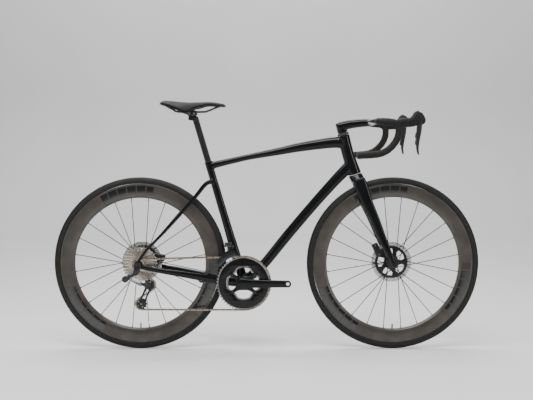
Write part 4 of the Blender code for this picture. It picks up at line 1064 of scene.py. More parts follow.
# Thru-axles with a hexagonal socket
for end_name, axle, low_y, high_y, body in (
    ("front", FRONT_AXLE, -61.3, 65.8, "fork"), ("rear", REAR_AXLE, -78.6, 82.8, "frame")
):
    bm = bmesh.new()
    rod_into(bm, axle + SIDE * low_y, axle + SIDE * (high_y - 3.4), 5.9, 32, chamfer=0.6)
    bolt_into(bm, axle + SIDE * (high_y - 3.6), (0, 1, 0), 8.3, 3.5, 0.5)
    bolt_into(bm, axle + SIDE * (low_y + 1.0), (0, -1, 0), 5.4, 1.2, 0.55)
    fit(to_object(f"{end_name}_axle_bolt", bm, ANODISED, 30), body, [f"{end_name}_thru_axle"])


# Cassette
def pitch_radius(teeth):
    return PITCH / (2 * math.sin(math.pi / teeth))


def tooth_outline(centre, teeth, root_drop=3.1, tip_rise=1.7, start=0.0, narrow=0.16):
    """Rounded sprocket teeth: a deep valley for each roller between slim tips."""
    flank = [
        (0.05, tip_rise), (narrow, tip_rise * 0.75), (0.24, -0.5), (0.31, -root_drop * 0.55),
        (0.4, -root_drop)
    ]
    tooth = [(-0.5, -root_drop * 1.08)] + [(-share, rise) for share, rise in reversed(flank)] + flank
    step = 2 * math.pi / teeth
    outline = []
    for k in range(teeth):
        for share, rise in tooth:
            outline.append(polar(centre, pitch_radius(teeth) + rise, start + step * (k + share)))
    return outline


def build_cassette():
    axle = REAR_AXLE
    centre = (axle.x, axle.z)
    pieces = []
    for index, teeth in enumerate(COGS):
        y = SMALL_COG_Y + COG_SPACING * index
        outlines = [tooth_outline(centre, teeth, start=math.pi / 2 if index == 0 else 0.07 * index)]
        if teeth < 19:
            outlines.append(circle(centre, 17.6, 48))
        else:
            outlines.append(circle(centre, pitch_radius(teeth) - (15.0 if teeth > 28 else 10.5), 72))
        if teeth > 28:
            holes = 24 if teeth > 32 else 20
            for k in range(holes):
                spot = polar(centre, pitch_radius(teeth) - 7.6, 2 * math.pi * (k + 0.5) / holes)
                outlines.append(circle(spot, 2.9, 14))
        pieces.append(plate_object(f"sprocket_{teeth}", outlines, y, 1.55, COG, 0.18, axle))
    carriers = []
    for first, last in ((7, 8), (9, 10), (11, 11)):
        reach = pitch_radius(COGS[first]) - 9.0
        arm = ((-22, 22), (-9, reach * 0.7), (-6, reach), (6, reach), (9, reach * 0.7), (22, 22))
        outline = []
        for base in turns(5):
            outline += [polar(centre, radius, base + math.radians(step)) for step, radius in arm]
        middle = SMALL_COG_Y + COG_SPACING * (first + last) / 2
        outlines = [outline, circle(centre, 17.6, 48)]
        carriers.append(plate_object(f"cog_carrier_{first}", outlines, middle, 2.2, ANODISED, 0.3, axle))
    bm = bmesh.new()
    for index in range(len(COGS) - 1):
        y = SMALL_COG_Y + COG_SPACING * index
        reach = 21.2 if index else 18.4
        turned_into(bm, [(17.4, 0.9), (reach, 0.9), (reach, 2.7), (17.4, 2.7)], axle + SIDE * y, SIDE, 48)
    spacers = to_object("cog_spacers", bm, ANODISED, 30, axle)
    bm = bmesh.new()
    lock_profile = [(10.6, -2.0), (14.2, -2.4), (15.8, -2.2), (16.2, -1.6), (16.2, 0.6), (10.6, 0.6)]
    turned_into(bm, lock_profile, axle + SIDE * SMALL_COG_Y, SIDE, 64)
    for turn in turns(24):
        spot = around(axle, 11.2, turn, SMALL_COG_Y - 1.6)
        box_into(bm, spot, (1.6, 1.6, 1.5), (math.cos(turn), 0, math.sin(turn)), bevel=0)
    lock = to_object("cassette_lockring", bm, ANODISED, 30, axle)
    return merge(pieces[0], *pieces[1:], *carriers, spacers, lock)


cassette = build_cassette()
cassette.name = "sprocket_stack"
fit(cassette, "cassette", ["cassette"])
freehub = turned(
    "freehub_shell",
    [(9.0, -63.6), (16.4, -63.6), (16.7, -63.0), (16.7, -23.4), (16.0, -22.8), (9.0, -22.8)],
    REAR_AXLE, ANODISED, SIDE, 64, REAR_AXLE, 30,
)
fit(freehub, "cassette", ["freehub_body"])

# Chain: rollers, inner and outer plates along the real path
WHEELS = [
    (BB.x, BB.z, BIG_RING[0], -1, BIG_RING[1]),
    (TENSION.x, TENSION.z, 11, -1, SMALL_COG_Y),
    (GUIDE.x, GUIDE.z, 11, 1, SMALL_COG_Y),
    (REAR_AXLE.x, REAR_AXLE.z, 11, -1, SMALL_COG_Y),
]


def tangent(first, second):
    gap = Vector((second[0] - first[0], second[1] - first[1]))
    lean = math.asin((second[3] * pitch_radius(second[2]) - first[3] * pitch_radius(first[2])) / gap.length)
    heading = math.atan2(gap.y, gap.x) - lean
    normal = Vector((-math.sin(heading), math.cos(heading)))
    leave = Vector(first[:2]) - normal * first[3] * pitch_radius(first[2])
    meet = Vector(second[:2]) - normal * second[3] * pitch_radius(second[2])
    return leave, meet


def chain_line():
    """Dense points (x, y, z) round the chain."""
    runs = [tangent(WHEELS[i], WHEELS[(i + 1) % 4]) for i in range(4)]
    line = []
    for i, (leave, meet) in enumerate(runs):
        here = WHEELS[i]
        there = WHEELS[(i + 1) % 4]
        reach = (meet - leave).length
        first = 44 if i == 0 else 22
        last = 22 if i == 0 else 44
        for k in range(200):
            travelled = reach * k / 200
            slide = 0.0
            if here[4] != there[4]:
                slide = min(max((travelled - first) / (reach - first - last), 0.0), 1.0)
            spot = leave.lerp(meet, k / 200)
            line.append(Vector((spot.x, here[4] + (there[4] - here[4]) * slide, spot.y)))
        hub = Vector(there[:2])
        start = math.atan2(meet.y - hub.y, meet.x - hub.x)
        onward = runs[(i + 1) % 4][0]
        stop = math.atan2(onward.y - hub.y, onward.x - hub.x)
        sweep = ((stop - start) * there[3]) % (2 * math.pi)
        for k in range(160):
            turn = start + there[3] * sweep * k / 160
            x, z = polar(hub, pitch_radius(there[2]), turn)
            line.append(Vector((x, there[4], z)))
    return line


def spaced(line, count):
    """The same number of equal steps along a closed line."""
    lengths = [0.0]
    for i, point in enumerate(line):
        lengths.append(lengths[-1] + (line[(i + 1) % len(line)] - point).length)
    total = lengths[-1]
    spots = []
    index = 0
    for k in range(count):
        goal = total * k / count
        while lengths[index + 1] < goal:
            index += 1
        share = (goal - lengths[index]) / (lengths[index + 1] - lengths[index])
        spots.append(line[index].lerp(line[(index + 1) % len(line)], share))
    return spots


def link_plate_into(bm, first, second, low, high, wide=4.1, waist=2.8):
    """A waisted side plate between two pins, from low to high across the chain."""
    run = second - first
    flat = Vector((run.x, 0, run.z)).normalized()
    up = Vector((-flat.z, 0, flat.x))
    length = run.length
    outline = [polar((0, 0), wide, math.pi / 2 + math.pi * k / 6) for k in range(7)]
    outline.append((length * 0.5, -waist))
    outline += [polar((length, 0), wide, -math.pi / 2 + math.pi * k / 6) for k in range(7)]
    outline.append((length * 0.5, waist))
    slope = run.y / length
    rings = []
    for y, shrink in ((low, 0.9), (low + 0.12, 1.0), (high - 0.12, 1.0), (high, 0.9)):
        ring = []
        for a, b in outline:
            centre_a = min(max(a, 0.0), length)
            reach = centre_a + (a - centre_a) * shrink
            ring.append(first + flat * reach + up * b * shrink + SIDE * (y + slope * a))
        rings.append(ring)
    skin(bm, rings)


def build_chain():
    pins = spaced(chain_line(), 114)
    plates = bmesh.new()
    rollers = bmesh.new()
    inner_plates = bmesh.new()
    for i, pin in enumerate(pins):
        following = pins[(i + 1) % len(pins)]
        into, inside, outside = (plates, 1.75, 2.55) if i % 2 else (inner_plates, 0.95, 1.65)
        link_plate_into(into, pin, following, -outside, -inside)
        link_plate_into(into, pin, following, inside, outside)
        rod_into(rollers, pin + SIDE * -0.95, pin + SIDE * 0.95, 3.75, 14)
        rod_into(plates, pin + SIDE * -2.75, pin + SIDE * 2.75, 1.5, 10, chamfer=0.2)
    links = to_object("chain_links", plates, CHAIN_PLATE, 30)
    inner_links = to_object("chain_inner_links", inner_plates, CHAIN_INNER, 30)
    return merge(links, inner_links, to_object("chain_rollers", rollers, CHAIN_ROLLER, 30))


chain = build_chain()
fit(chain, "frame", ["chain"])


# Crankset
CRANK_RIGHT = [
    (-113, -57.0, 265.6, 5.5, 12), (-104, -57.5, 265.6, 6.4, 19), (-89.6, -58.2, 265.6, 7.2, 20.5),
    (-60, -59.5, 265.6, 7.0, 17.0),
    (0, -62, 265.6, 6.6, 15.4), (60, -65.5, 265.6, 6.0, 14.2), (80, -67, 265.6, 6.0, 13.8),
]
CRANK_LEFT = [
    (-67, 56, 265.6, 6.5, 12), (-75, 56, 265.6, 8.0, 18), (-89.6, 56.4, 265.6, 8.2, 19),
    (-112, 57.2, 265.6, 7.6, 16.8),
    (-170, 61, 265.6, 6.6, 15.4), (-230, 65, 265.6, 6.0, 14.2), (-258, 67, 265.6, 6.0, 13.8),
]
RIGHT_EYE = BB + Vector((172.5, 0, 0))
LEFT_EYE = BB - Vector((172.5, 0, 0))
RING_BOLT_TURNS = (38, 142, 218, 322)


def spider_outline():
    flank = [(5, 63.2), (7.6, 60), (8.2, 52), (11, 40), (20, 31), (34, 27.5)]
    arm = [(-step, radius) for step, radius in reversed(flank)] + flank
    outline = []
    for degrees in RING_BOLT_TURNS:
        outline += [polar((BB.x, BB.z), radius, math.radians(degrees + step)) for step, radius in arm]
    return outline


def crank_arm(side_name, stations, eye, flip, boss):
    """An arm with its pedal eye. Boss is (inner y, outer y, radius, chamfer) round the spindle."""
    bm = bmesh.new()
    tube_into(bm, stations, 40, 3.0, SIDE, 8, rounded=4.0)
    rod_into(bm, eye + SIDE * 60.6 * flip, eye + SIDE * 73.6 * flip, 13.8, 48, chamfer=1.2)
    rod_into(bm, BB + SIDE * boss[0] * flip, BB + SIDE * boss[1] * flip, boss[2], 48, chamfer=boss[3])
    return to_object(f"crank_arm_{side_name}", bm, PAINT, 40)


def build_crank_right():
    arm = crank_arm("right", CRANK_RIGHT, RIGHT_EYE, -1, (46, 61.5, 20.6, 1.5))
    merge(arm, plate_object("crank_spider", [spider_outline()], -53.5, 7.0, PAINT, 1.2))
    melt(arm, 1.1, 6)
    cut(arm, RIGHT_EYE + SIDE * -55, RIGHT_EYE + SIDE * -90, 7.1)
    refinish(arm, PAINT, 35)
    return arm


def build_crank_left():
    arm = crank_arm("left", CRANK_LEFT, LEFT_EYE, 1, (46.4, 64.2, 18.7, 1.2))
    melt(arm, 1.1, 6)
    cut(arm, LEFT_EYE + SIDE * 55, LEFT_EYE + SIDE * 90, 7.1)
    cut(arm, BB + SIDE * 40, BB + SIDE * 63, 12.4)
    refinish(arm, PAINT, 35)
    return arm


fit(build_crank_right(), "crankset", ["crank_right"])
fit(build_crank_left(), "crankset", ["crank_left"])
bm = bmesh.new()
rod_into(bm, BB + SIDE * -50, BB + SIDE * 63, 11.9, 40, chamfer=0.6)
for eye, flip in ((RIGHT_EYE, -1), (LEFT_EYE, 1)):
    for k in range(6):
        y = flip * (62 + 2.0 * k)
        turned_into(bm, [(6.5, -0.6), (7.05, -0.3), (7.05, 0.3), (6.5, 0.6)], (eye.x, y, eye.z), SIDE, 40)
fit(to_object("crank_spindle", bm, BOLT, 30), "crankset", ())
bm = bmesh.new()
bolt_into(bm, BB + SIDE * -61.2, (0, -1, 0), 9.2, 1.0, 0.55)
bolt_into(bm, BB + SIDE * 63.6, (0, 1, 0), 8.6, 0.8, 0.55)
for height in (-8.0, 8.0):
    bolt_into(bm, BB + Vector((20.6, 56.2, height)) - Vector((1.2, 0, 0)), (1, 0, 0), 2.6, 0.8, 0.5)
fit(to_object("crank_bolts", bm, ANODISED, 30), "crankset", ())


def build_ring(name, teeth, y, web, colour, tooth_colour):
    radius = pitch_radius(teeth)
    centre = (BB.x, BB.z)
    first = plate_object(
        name + "_teeth",
        [tooth_outline(centre, teeth, start=math.pi / teeth), circle(centre, radius - 6.5, 128)],
        y, 1.5, tooth_colour, 0.2, BB,
    )
    inner = []
    for turn in turns(160):
        near = max(math.cos(4 * (turn - math.radians(peak))) for peak in (38, 52))
        inner.append(polar(centre, web - 9.0 * max(0.0, near) ** 3, turn))
    band = plate_object(
        name + "_band", [circle(centre, radius - 6.2, 128), inner], y - 0.1, 1.6, colour, 0.3, BB
    )
    return merge(first, band)


outer_ring = build_ring("big_ring", 52, BIG_RING[1], 68.0, RING_BLACK, RING_TOOTH)
fit(outer_ring, "crankset", ["chainring_outer"])
inner_ring = build_ring("small_ring", 36, SMALL_RING[1], 60.5, RING_TOOTH, COG)
fit(inner_ring, "crankset", ["chainring_inner"])
bm = bmesh.new()
for degrees in RING_BOLT_TURNS:
    spot = around(BB, 55, math.radians(degrees), 0)
    bolt_into(bm, spot + SIDE * -56.6, (0, -1, 0), 4.6, 1.2, 0.5)
    rod_into(bm, spot + SIDE * -57, spot + SIDE * -40.4, 4.0, 20)
    bolt_into(bm, spot + SIDE * -40.6, (0, 1, 0), 5.0, 1.0, 0.5)
fit(to_object("chainring_bolts", bm, ANODISED, 30), "crankset", ())

# Front derailleur
bm = bmesh.new()
box_into(bm, (-150, -31.5, 416), (29, 13.5, 18), bevel=3.6, segments=4)
box_into(bm, (-139, -26, 407), (22, 12, 14), (0.9, 0, -0.3), bevel=2.5, segments=3)
rod_into(bm, (-148, -22, 421), (-148, -38.4, 421), 4.4, 28, chamfer=0.8)
shell = to_object("shifter_motor_front", bm, PLASTIC, 40)
melt(shell, 0.9, 4)
bm = bmesh.new()
bolt_into(bm, (-157, -38.2, 411), (0, -1, 0), 2.5, 0.6)
bolt_into(bm, (-142, -38.2, 411), (0, -1, 0), 2.0, 0.6)
front_bolts = to_object("front_motor_bolts", bm, BOLT, 30)
fit(shell, "frame", ["front_derailleur_body"])
fit(front_bolts, "frame", ())
cage_side = [polar((BB.x, BB.z), 113, math.radians(degrees)) for degrees in range(104, 144, 3)]
cage_side += [
    (-195, 338), (-193, 345), (-184, 362), (-172, 379), (-160, 389), (-150, 393.6), (-136, 394.8),
    (-122, 394.6)
]
outer = plate_object("front_cage", [cage_side], -54.6, 1.3, ANODISED, 0.35)
inner = plate_object("front_cage_other", [cage_side], -41.2, 1.3, ANODISED, 0.35)
bm = bmesh.new()
box_into(bm, (-137, -47.9, 389.5), (20, 13.4, 4.4), bevel=1.2)
box_into(bm, (-188.4, -47.9, 339.5), (5, 13.4, 4.6), bevel=1.2)
box_into(bm, (-148, -44.5, 401), (11, 5.4, 23), bevel=1.6)
bridge = to_object("front_cage_bridge", bm, ANODISED, 40)
fit(merge(outer, inner, bridge), "front_derailleur_cage", ["front_derailleur_cage"])

# Rear derailleur
LINK_ALONG = Vector((0.853, 0, -0.522)).normalized()
LINK_IN = Vector((0, 0.85, -0.53))
LINK_IN = (LINK_IN - LINK_ALONG * LINK_IN.dot(LINK_ALONG)).normalized()
LINK_PIN = LINK_ALONG.cross(LINK_IN)
LINK_REST = math.radians(-15)
LINK_LENGTH = 44.0
LINK_GAP = 11.0
link_run = (LINK_ALONG * math.cos(LINK_REST) + LINK_IN * math.sin(LINK_REST)) * LINK_LENGTH
OUTER_PIN = Vector((-523, -98, 291))
INNER_PIN = OUTER_PIN + LINK_IN * LINK_GAP


def pin_box_into(bm, centre, half_along, half_in, half_pin, along=LINK_ALONG, bevel=1.0):
    across = LINK_PIN.cross(along).normalized()
    turn = Matrix((along.normalized(), across, LINK_PIN)).transposed().to_4x4()
    scale = Matrix.Diagonal((2 * half_along * MM, 2 * half_in * MM, 2 * half_pin * MM, 1.0))
    made = bmesh.ops.create_cube(
        bm, size=1.0, matrix=Matrix.Translation(Vector(centre) * MM) @ turn @ scale
    )
    edges = list({edge for vert in made["verts"] for edge in vert.link_edges})
    bmesh.ops.bevel(bm, geom=edges, offset=bevel * MM, segments=3, profile=0.5, affect="EDGES")


def yoke_into(bm, pins, base, toward):
    pin_box_into(bm, base + LINK_IN * LINK_GAP / 2 + toward * 4.4, 2.3, 7.8, 6.3, bevel=0.8)
    for pin in (base, base + LINK_IN * LINK_GAP):
        rod_into(pins, pin - LINK_PIN * 6.4, pin + LINK_PIN * 6.4, 2.5, 20, chamfer=0.3)


hanger_outline = circle((REAR_AXLE.x, REAR_AXLE.z), 13.2, 24, math.radians(30))[0:13]
hanger_outline += [
    (-517.4, 318), (-516.6, 304.6), (-512, 301.2), (-507, 300.4), (-501, 302.5), (-497.4, 305.6),
    (-488.6, 326)
]
hanger = plate_object(
    "hanger", [hanger_outline, circle((REAR_AXLE.x, REAR_AXLE.z), 6.4, 32)], -81.9, 4.8, ANODISED, 0.6
)
fit(hanger, "frame", ["rear_derailleur_hanger"])

bm = bmesh.new()
pins = bmesh.new()
rod_into(bm, (-507, -85.0, 311), (-507, -97.6, 311), 9.8, 40, chamfer=1.2)
box_into(bm, (-520, -92, 302.5), (29, 10.4, 11.2), (0.85, 0, 0.54), bevel=3.0, segments=4)
box_into(bm, (-535, -92, 296), (22, 10.4, 11.4), (0.85, 0, 0.54), bevel=3.0, segments=4)
rod_into(bm, (-546, -82.3, 288), (-546, -102.6, 288), 12.8, 48, chamfer=2.0)
yoke_into(bm, pins, OUTER_PIN, -LINK_ALONG)
motor = to_object("shifter_motor_rear", bm, PLASTIC, 40)
melt(motor, 0.9, 3)
bolts = bmesh.new()
bolt_into(bolts, (-507, -97.0, 311), (0, -1, 0), 5.2, 0.9, 0.55)
bolt_into(bolts, (-546, -102.0, 288), (0, -1, 0), 7.6, 0.8, 0.35)
bolt_into(bolts, (-530, -97.0, 298.6), (0, -1, 0), 2.0, 0.8)
motor = merge(motor, to_object("motor_pins", pins, BOLT, 30), to_object("motor_bolts", bolts, ANODISED, 30))
fit(motor, "frame", ["rear_derailleur_motor"])

for link_name, pin, half_in, half_pin, surface, slot in (
    ("outer", OUTER_PIN, 2.5, 8.8, LINK_GREY, "matt_black"),
    ("inner", INNER_PIN, 1.7, 6.8, ANODISED, "dark_alloy"),
):
    bm = bmesh.new()
    pin_box_into(bm, pin + link_run / 2, LINK_LENGTH / 2 - 3.3, half_in, half_pin, link_run, 1.1)
    for eye in (pin, pin + link_run):
        rod_into(
            bm, eye - LINK_PIN * half_pin * 0.55, eye + LINK_PIN * half_pin * 0.55, 3.4, 28, chamfer=0.4
        )
    node = f"rear_derailleur_link_{link_name}"
    fit(to_object(f"{link_name}_link", bm, surface, 40), node, [node])

PIVOT = Vector((-461, 0, 266))
bm = bmesh.new()
pins = bmesh.new()
rod_into(bm, (PIVOT.x, -75.4, PIVOT.z), (PIVOT.x, -95.6, PIVOT.z), 10.8, 44, chamfer=1.6)
yoke_into(bm, pins, OUTER_PIN + link_run, LINK_ALONG)
box_into(bm, (-471, -96, 266.5), (19, 13, 11.2), (0.95, 0, -0.3), bevel=2.6, segments=4)
knuckle = to_object("lower_knuckle", bm, PLASTIC, 40)
melt(knuckle, 0.9, 3)
bolts = bmesh.new()
bolt_into(bolts, (PIVOT.x, -95.0, PIVOT.z), (0, -1, 0), 6.2, 0.5, 0.5)
knuckle = merge(
    knuckle, to_object("knuckle_pins", pins, BOLT, 30), to_object("knuckle_bolt", bolts, ANODISED, 30)
)
fit(knuckle, "rear_derailleur_knuckle", ["rear_derailleur_knuckle"])

cage_outline = [
    (GUIDE.x + 8.6, GUIDE.z + 8.6), (GUIDE.x + 11.4, GUIDE.z + 2.0), (GUIDE.x + 11.0, GUIDE.z - 6.0),
    (TENSION.x + 13.4, TENSION.z + 4), (TENSION.x + 12.4, TENSION.z - 4),
    (TENSION.x + 7.6, TENSION.z - 10.4),
    (TENSION.x, TENSION.z - 11.0), (TENSION.x - 6.8, TENSION.z - 10.2), (TENSION.x - 11.2, TENSION.z - 4.0),
    (TENSION.x - 11.4, TENSION.z + 3), (GUIDE.x - 16.2, GUIDE.z - 6), (GUIDE.x - 15.0, GUIDE.z + 4),
    (GUIDE.x - 12.4, GUIDE.z + 11),
    (GUIDE.x - 4.0, GUIDE.z + 10.6),
]
window = [
    (0.18, -4.2), (0.3, -5.2), (0.7, -5.2), (0.82, -4.2), (0.82, 4.2), (0.7, 5.2), (0.3, 5.2), (0.18, 4.2)
]
cut_out = []
for share, offset in window:
    spot = GUIDE.lerp(TENSION, share)
    cut_out.append((spot.x + offset, spot.z))
plates = []
for label, y, surface in (("outer", -72.6, MATT), ("inner", -59.4, ANODISED)):
    plates.append(plate_object(f"pulley_cage_{label}", [cage_outline, cut_out], y, 1.7, surface, 0.4))
bm = bmesh.new()
for centre in (GUIDE, TENSION):
    rod_into(bm, (centre.x, -72.8, centre.z), (centre.x, -59.2, centre.z), 2.9, 24)
    bolt_into(bm, (centre.x, -58.8, centre.z), (0, 1, 0), 4.0, 0.35, 0.5)
face_bolt = bmesh.new()
bolt_into(face_bolt, (TENSION.x, -73.2, TENSION.z), (0, -1, 0), 4.2, 0.25, 0.5)
cage = merge(
    plates[0], plates[1], to_object("cage_bolts", bm, BOLT, 30),
    to_object("cage_bolt_face", face_bolt, BOLT, 30)
)
fit(cage, "rear_derailleur_cage", ["rear_derailleur_cage"])

for wheel_name, centre in (("guide_pulley", GUIDE), ("tension_pulley", TENSION)):
    flat = (centre.x, centre.z)
    outlines = [tooth_outline(flat, 11, root_drop=3.2, tip_rise=1.0), circle(flat, 6.5, 40)]
    outlines += [circle(polar(flat, 11.2, turn), 2.6, 20) for turn in turns(5)]
    toothed = plate_object(wheel_name + "_wheel", outlines, centre.y, 1.5, PLASTIC, 0.2, centre)
    profile = [(3.3, -0.8), (7.0, -0.8), (7.0, 0.8), (3.3, 0.8)]
    bearing = turned(wheel_name + "_bearing", profile, centre, BOLT, SIDE, 40, centre, 30)
    fit(merge(toothed, bearing), wheel_name, [wheel_name])


# Brake calipers and pads
def build_caliper(end_name, axle, rotor_y, centre, along, foot, body):
    bm = bmesh.new()
    box_into(bm, centre, (55, 25.2, 26), along, bevel=5.0, segments=5)
    box_into(bm, *foot[:2], along, bevel=2.4, segments=4)
    for flip in (1, -1):
        out = Vector(centre) + SIDE * 12.0 * flip
        rod_into(bm, out - SIDE * 2.0 * flip, out + SIDE * 0.9 * flip, 9.2, 40, chamfer=0.6)
    shell = to_object(f"{end_name}_caliper_shell", bm, MATT, 40)
    melt(shell, 1.0, 4)
    cut(shell, axle + SIDE * (rotor_y - 5.6), axle + SIDE * (rotor_y + 5.6), 82.5, 160)
    refinish(shell, MATT, 32)
    bolts = bmesh.new()
    run = Vector(along).normalized()
    for share in (-20, 20):
        bolt_into(bolts, Vector(centre) + run * share + SIDE * -12.3, (0, -1, 0), 2.6, 0.5, 0.5)
    fixings = to_object(f"{end_name}_caliper_bolts", bolts, BOLT, 30)
    fit(merge(shell, fixings), body, [f"{end_name}_brake_caliper"])
    outward = Vector((centre[0] - axle.x, 0, centre[2] - axle.z)).normalized()
    spot = axle + outward * 68
    for side_name, flip in (("right", -1), ("left", 1)):
        y = rotor_y + flip * (0.9 + 0.4 + 1.9)
        bm = bmesh.new()
        box_into(bm, (spot.x, y - flip * 0.35, spot.z), (23.4, 3.0, 11.6), along, bevel=0.8, segments=2)
        pad = to_object(f"{end_name}_pad_lining_{side_name}", bm, PAD_BACK, 40)
        fit(pad, f"{end_name}_brake_pad_{side_name}", [f"{end_name}_brake_pad_{side_name}"])


build_caliper(
    "front", FRONT_AXLE, 39.6, (441.5, 39.6, 388.5), (0.42, 0, -0.907), ((434, 56, 386), (45, 15.4, 7.6)),
    "fork"
)
build_caliper(
    "rear", REAR_AXLE, 55.7, (-434, 55.7, 359), (0.975, 0, -0.22), ((-437, 67, 340), (39, 8.6, 13.2)),
    "frame"
)

# Seatpost, clamp, rails
bm = bmesh.new()
rings = []
for z in (601, 640, 700, 760, 820, 880, 903, 915):
    rings.append(ring_points(at_seat(z), SEAT_UP, 8.9, 12.4, 40, 2.3, SIDE))
skin(bm, rings)
box_into(bm, (-290, 0, 912.5), (33, 29, 20.6), (0.98, 0, -0.12), bevel=4.0, segments=4)
post = to_object("seatpost_tube", bm, POST, 40)
melt(post, 1.4, 5)
fit(post, "seatpost", ["seatpost"])
bm = bmesh.new()
for flip in (1, -1):
    box_into(bm, (-292, 22 * flip, 932.2), (38, 11.4, 17.6), bevel=2.6, segments=4)
    box_into(bm, (-292, 11 * flip, 931.0), (24, 14, 13.0), bevel=2.0, segments=3)
box_into(bm, (-292, 0, 924.5), (34, 30, 9.0), bevel=2.6, segments=4)
rod_into(bm, (-292, -27.6, 928), (-292, 27.6, 928), 6.6, 32, chamfer=1.0)
clamp = to_object("rail_clamp", bm, ANODISED, 40)
bm = bmesh.new()
for flip in (1, -1):
    for x in (-301, -283):
        bolt_into(bm, (x, 27.4 * flip, 930), (0, flip, 0), 4.2, 1.6, 0.55)
clamp = merge(clamp, to_object("clamp_bolts", bm, BOLT, 30))
fit(clamp, "seatpost", ["saddle_clamp"])
RAIL = [
    (-386, 33, 955), (-366, 28, 945), (-345, 22, 936.5), (-250, 22, 936.5), (-228, 18, 941),
    (-200, 12, 952), (-184, 5, 957),
]
bm = bmesh.new()
rail_rows = [(x, y, z, 3.3, 3.3) for x, y, z in RAIL + [(x, -y, z) for x, y, z in reversed(RAIL)]]
tube_into(bm, rail_rows, 20, 2.0, Vector((0, 0, 1)), 8, carried=True)
fit(to_object("rail_wire", bm, RAIL_METAL, 60), "saddle", ["saddle_rails"])

# Saddle: a padded cover over a moulded base
SADDLE = [
    (-417.4, 31, 973.6, 5, 6), (-413, 45, 976.6, 7, 8), (-407, 55.5, 978.8, 9, 10),
    (-392, 65.4, 980.6, 14, 12),
    (-368, 70.4, 979.1, 20, 13), (-341, 65.4, 976.3, 28, 13), (-321, 57.4, 975.4, 37, 13),
    (-303, 48.4, 975.1, 34, 12), (-286, 41.4, 975.5, 22, 11.5), (-262, 32.6, 976.3, 18, 11),
    (-230, 25.6, 977.1, 11, 11), (-195, 21.6, 974.1, 10, 10), (-170, 17.4, 969.6, 8, 8),
    (-163, 13.5, 967, 6, 6.5), (-159.8, 9, 965, 4.5, 5),
]


def saddle_into(bm, base=False):
    """The padded cover with its shallow middle channel, or the thin base under it."""
    channel = 2.6
    rings = []
    shares = [-1 + 2 * k / 26 for k in range(27)]
    for x, half, top, drop, thick in glide(SADDLE, 6):
        upper = []
        lower = []
        middle = 0.0
        if -372 < x < -205:
            middle = channel * math.sin(math.pi * (x + 372) / 167) ** 0.7
        for share in shares:
            round_off = abs(share) ** 2.4
            z = top - drop * round_off - middle * math.exp(-((share * half / 7.0) ** 2))
            spread = half * share
            under = top - drop * round_off - thick * (1 - 0.3 * abs(share))
            if base:
                upper.append(Vector((x, spread * 0.93, under + 1.2)))
                lower.append(Vector((x, spread * 0.90, under - 0.9)))
            else:
                upper.append(Vector((x, spread, z - 0.7)))
                lower.append(Vector((x, spread * 0.96, under + 1.4)))
        rings.append(upper + lower[::-1])
    skin(bm, rings)


def cushion_sim(obj):
    """Puffs the pad gently with a short cloth run and keeps each point close to its start."""
    start = [vert.co.copy() for vert in obj.data.vertices]
    cloth = obj.modifiers.new("cloth", "CLOTH")
    cloth.settings.use_pressure = True
    cloth.settings.uniform_pressure_force = 4.0
    cloth.settings.effector_weights.gravity = 0.0
    cloth.settings.quality = 5
    cloth.settings.mass = 0.3
    cloth.settings.tension_stiffness = 30
    cloth.settings.compression_stiffness = 30
    cloth.settings.bending_stiffness = 8
    cloth.point_cache.frame_start = 1
    cloth.point_cache.frame_end = 20
    scene = bpy.context.scene
    for number in range(1, 21):
        scene.frame_set(number)
        bpy.context.evaluated_depsgraph_get()
    bake(obj)
    scene.frame_set(1)
    most = 0.7 * MM
    for vert, before in zip(obj.data.vertices, start):
        move = vert.co - before
        if move.length > most:
            vert.co = before + move.normalized() * most
    obj.data.update()
    return obj


bm = bmesh.new()
saddle_into(bm)
pad = to_object("saddle_pad", bm, SADDLE_COVER, 60)
melt(pad, 4.0, 2, 0.4)
cushion_sim(pad)
subdivide = pad.modifiers.new("fine", "SUBSURF")
subdivide.levels = 1
subdivide.render_levels = 1
bake(pad)
shade(pad)
fit(pad, "saddle", ["saddle"])
bm = bmesh.new()
saddle_into(bm, base=True)
base = to_object("saddle_base", bm, PLASTIC, 60)
fit(base, "saddle", ())
bm = bmesh.new()
for flip in (1, -1):
    box_into(bm, (-385, 31 * flip, 958), (16, 10, 8), bevel=2.4, segments=3)
box_into(bm, (-188, 0, 957.5), (16, 18, 8), bevel=2.6, segments=3)
fit(to_object("rail_sockets", bm, PLASTIC, 40), "saddle", ())

# CAD pieces still shown
for node, surface in (
    ("seat_clamp_wedge", ANODISED),
    ("headset_bearing_lower", BOLT),
    ("headset_bearing_upper", BOLT),
):
    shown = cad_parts[node].data.materials
    shown.clear()
    shown.append(surface.material)

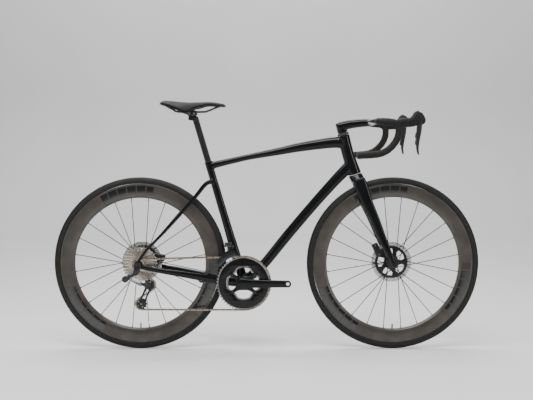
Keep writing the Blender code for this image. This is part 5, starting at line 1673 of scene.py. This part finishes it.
# Floor, light and camera
floor_surface = finish_for("pale_floor", (0.70, 0.70, 0.695), (0.735, 0.735, 0.73), (0.55, 0.65), 0.0, 1.2)
bm = bmesh.new()
FLOOR_FRONT = -6.0
WALL_START = 5.0
WALL_CURVE = 1.4
profile = [(FLOOR_FRONT, 0.0), (WALL_START, 0.0)]
for k in range(1, 17):
    turn = math.pi / 2 * k / 16
    profile.append((WALL_START + WALL_CURVE * math.sin(turn), WALL_CURVE - WALL_CURVE * math.cos(turn)))
profile.append((WALL_START + WALL_CURVE, 6.0))
columns = []
for x in (-9.0, 9.0):
    columns.append([bm.verts.new((x, y, z)) for y, z in profile])
for i in range(len(profile) - 1):
    bm.faces.new((columns[0][i], columns[1][i], columns[1][i + 1], columns[0][i + 1]))
floor_mesh = bpy.data.meshes.new("studio_floor")
bm.to_mesh(floor_mesh)
bm.free()
floor_mesh.materials.append(floor_surface.material)
floor = add("studio_floor", floor_mesh)
shade(floor)
floor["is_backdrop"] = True


def area_light(name, place, target, size, power, shape_y=None):
    light = bpy.data.lights.new(name, "AREA")
    light.shape = "RECTANGLE"
    light.size = size
    light.size_y = shape_y or size
    light.energy = power
    obj = add(name, light)
    obj.location = place
    obj.rotation_euler = (Vector(target) - Vector(place)).to_track_quat("-Z", "Y").to_euler()


area_light("key_light", (-0.6, -1.8, 3.4), (0.0, 0.2, 0.3), 3.0, 150, 1.4)
area_light("top_light", (0.0, 0.9, 3.4), (0.0, 0.5, 0.3), 3.6, 110, 1.2)
area_light("front_strip", (2.7, -1.4, 1.3), (0.3, 0.0, 0.6), 0.3, 34, 2.2)
area_light("back_strip", (-2.7, -1.6, 1.3), (-0.3, 0.0, 0.5), 0.3, 22, 2.2)
area_light("wall_light", (0.0, 4.4, 5.2), (0.0, 6.2, 1.2), 8.0, 260, 1.2)
world = bpy.data.worlds.new("studio")
bpy.context.scene.world = world
world.use_nodes = True
background = world.node_tree.nodes["Background"]
background.inputs["Color"].default_value = (0.82, 0.83, 0.85, 1.0)
background.inputs["Strength"].default_value = 0.26

camera = bpy.data.cameras.new("camera")
camera.lens = CAMERA_LENS
camera.sensor_width = 36.0
eye = add("camera", camera)
eye.location = CAMERA_PLACE
eye.rotation_euler = (math.radians(90 - CAMERA_PITCH), 0.0, 0.0)
bpy.context.scene.camera = eye

low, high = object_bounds()
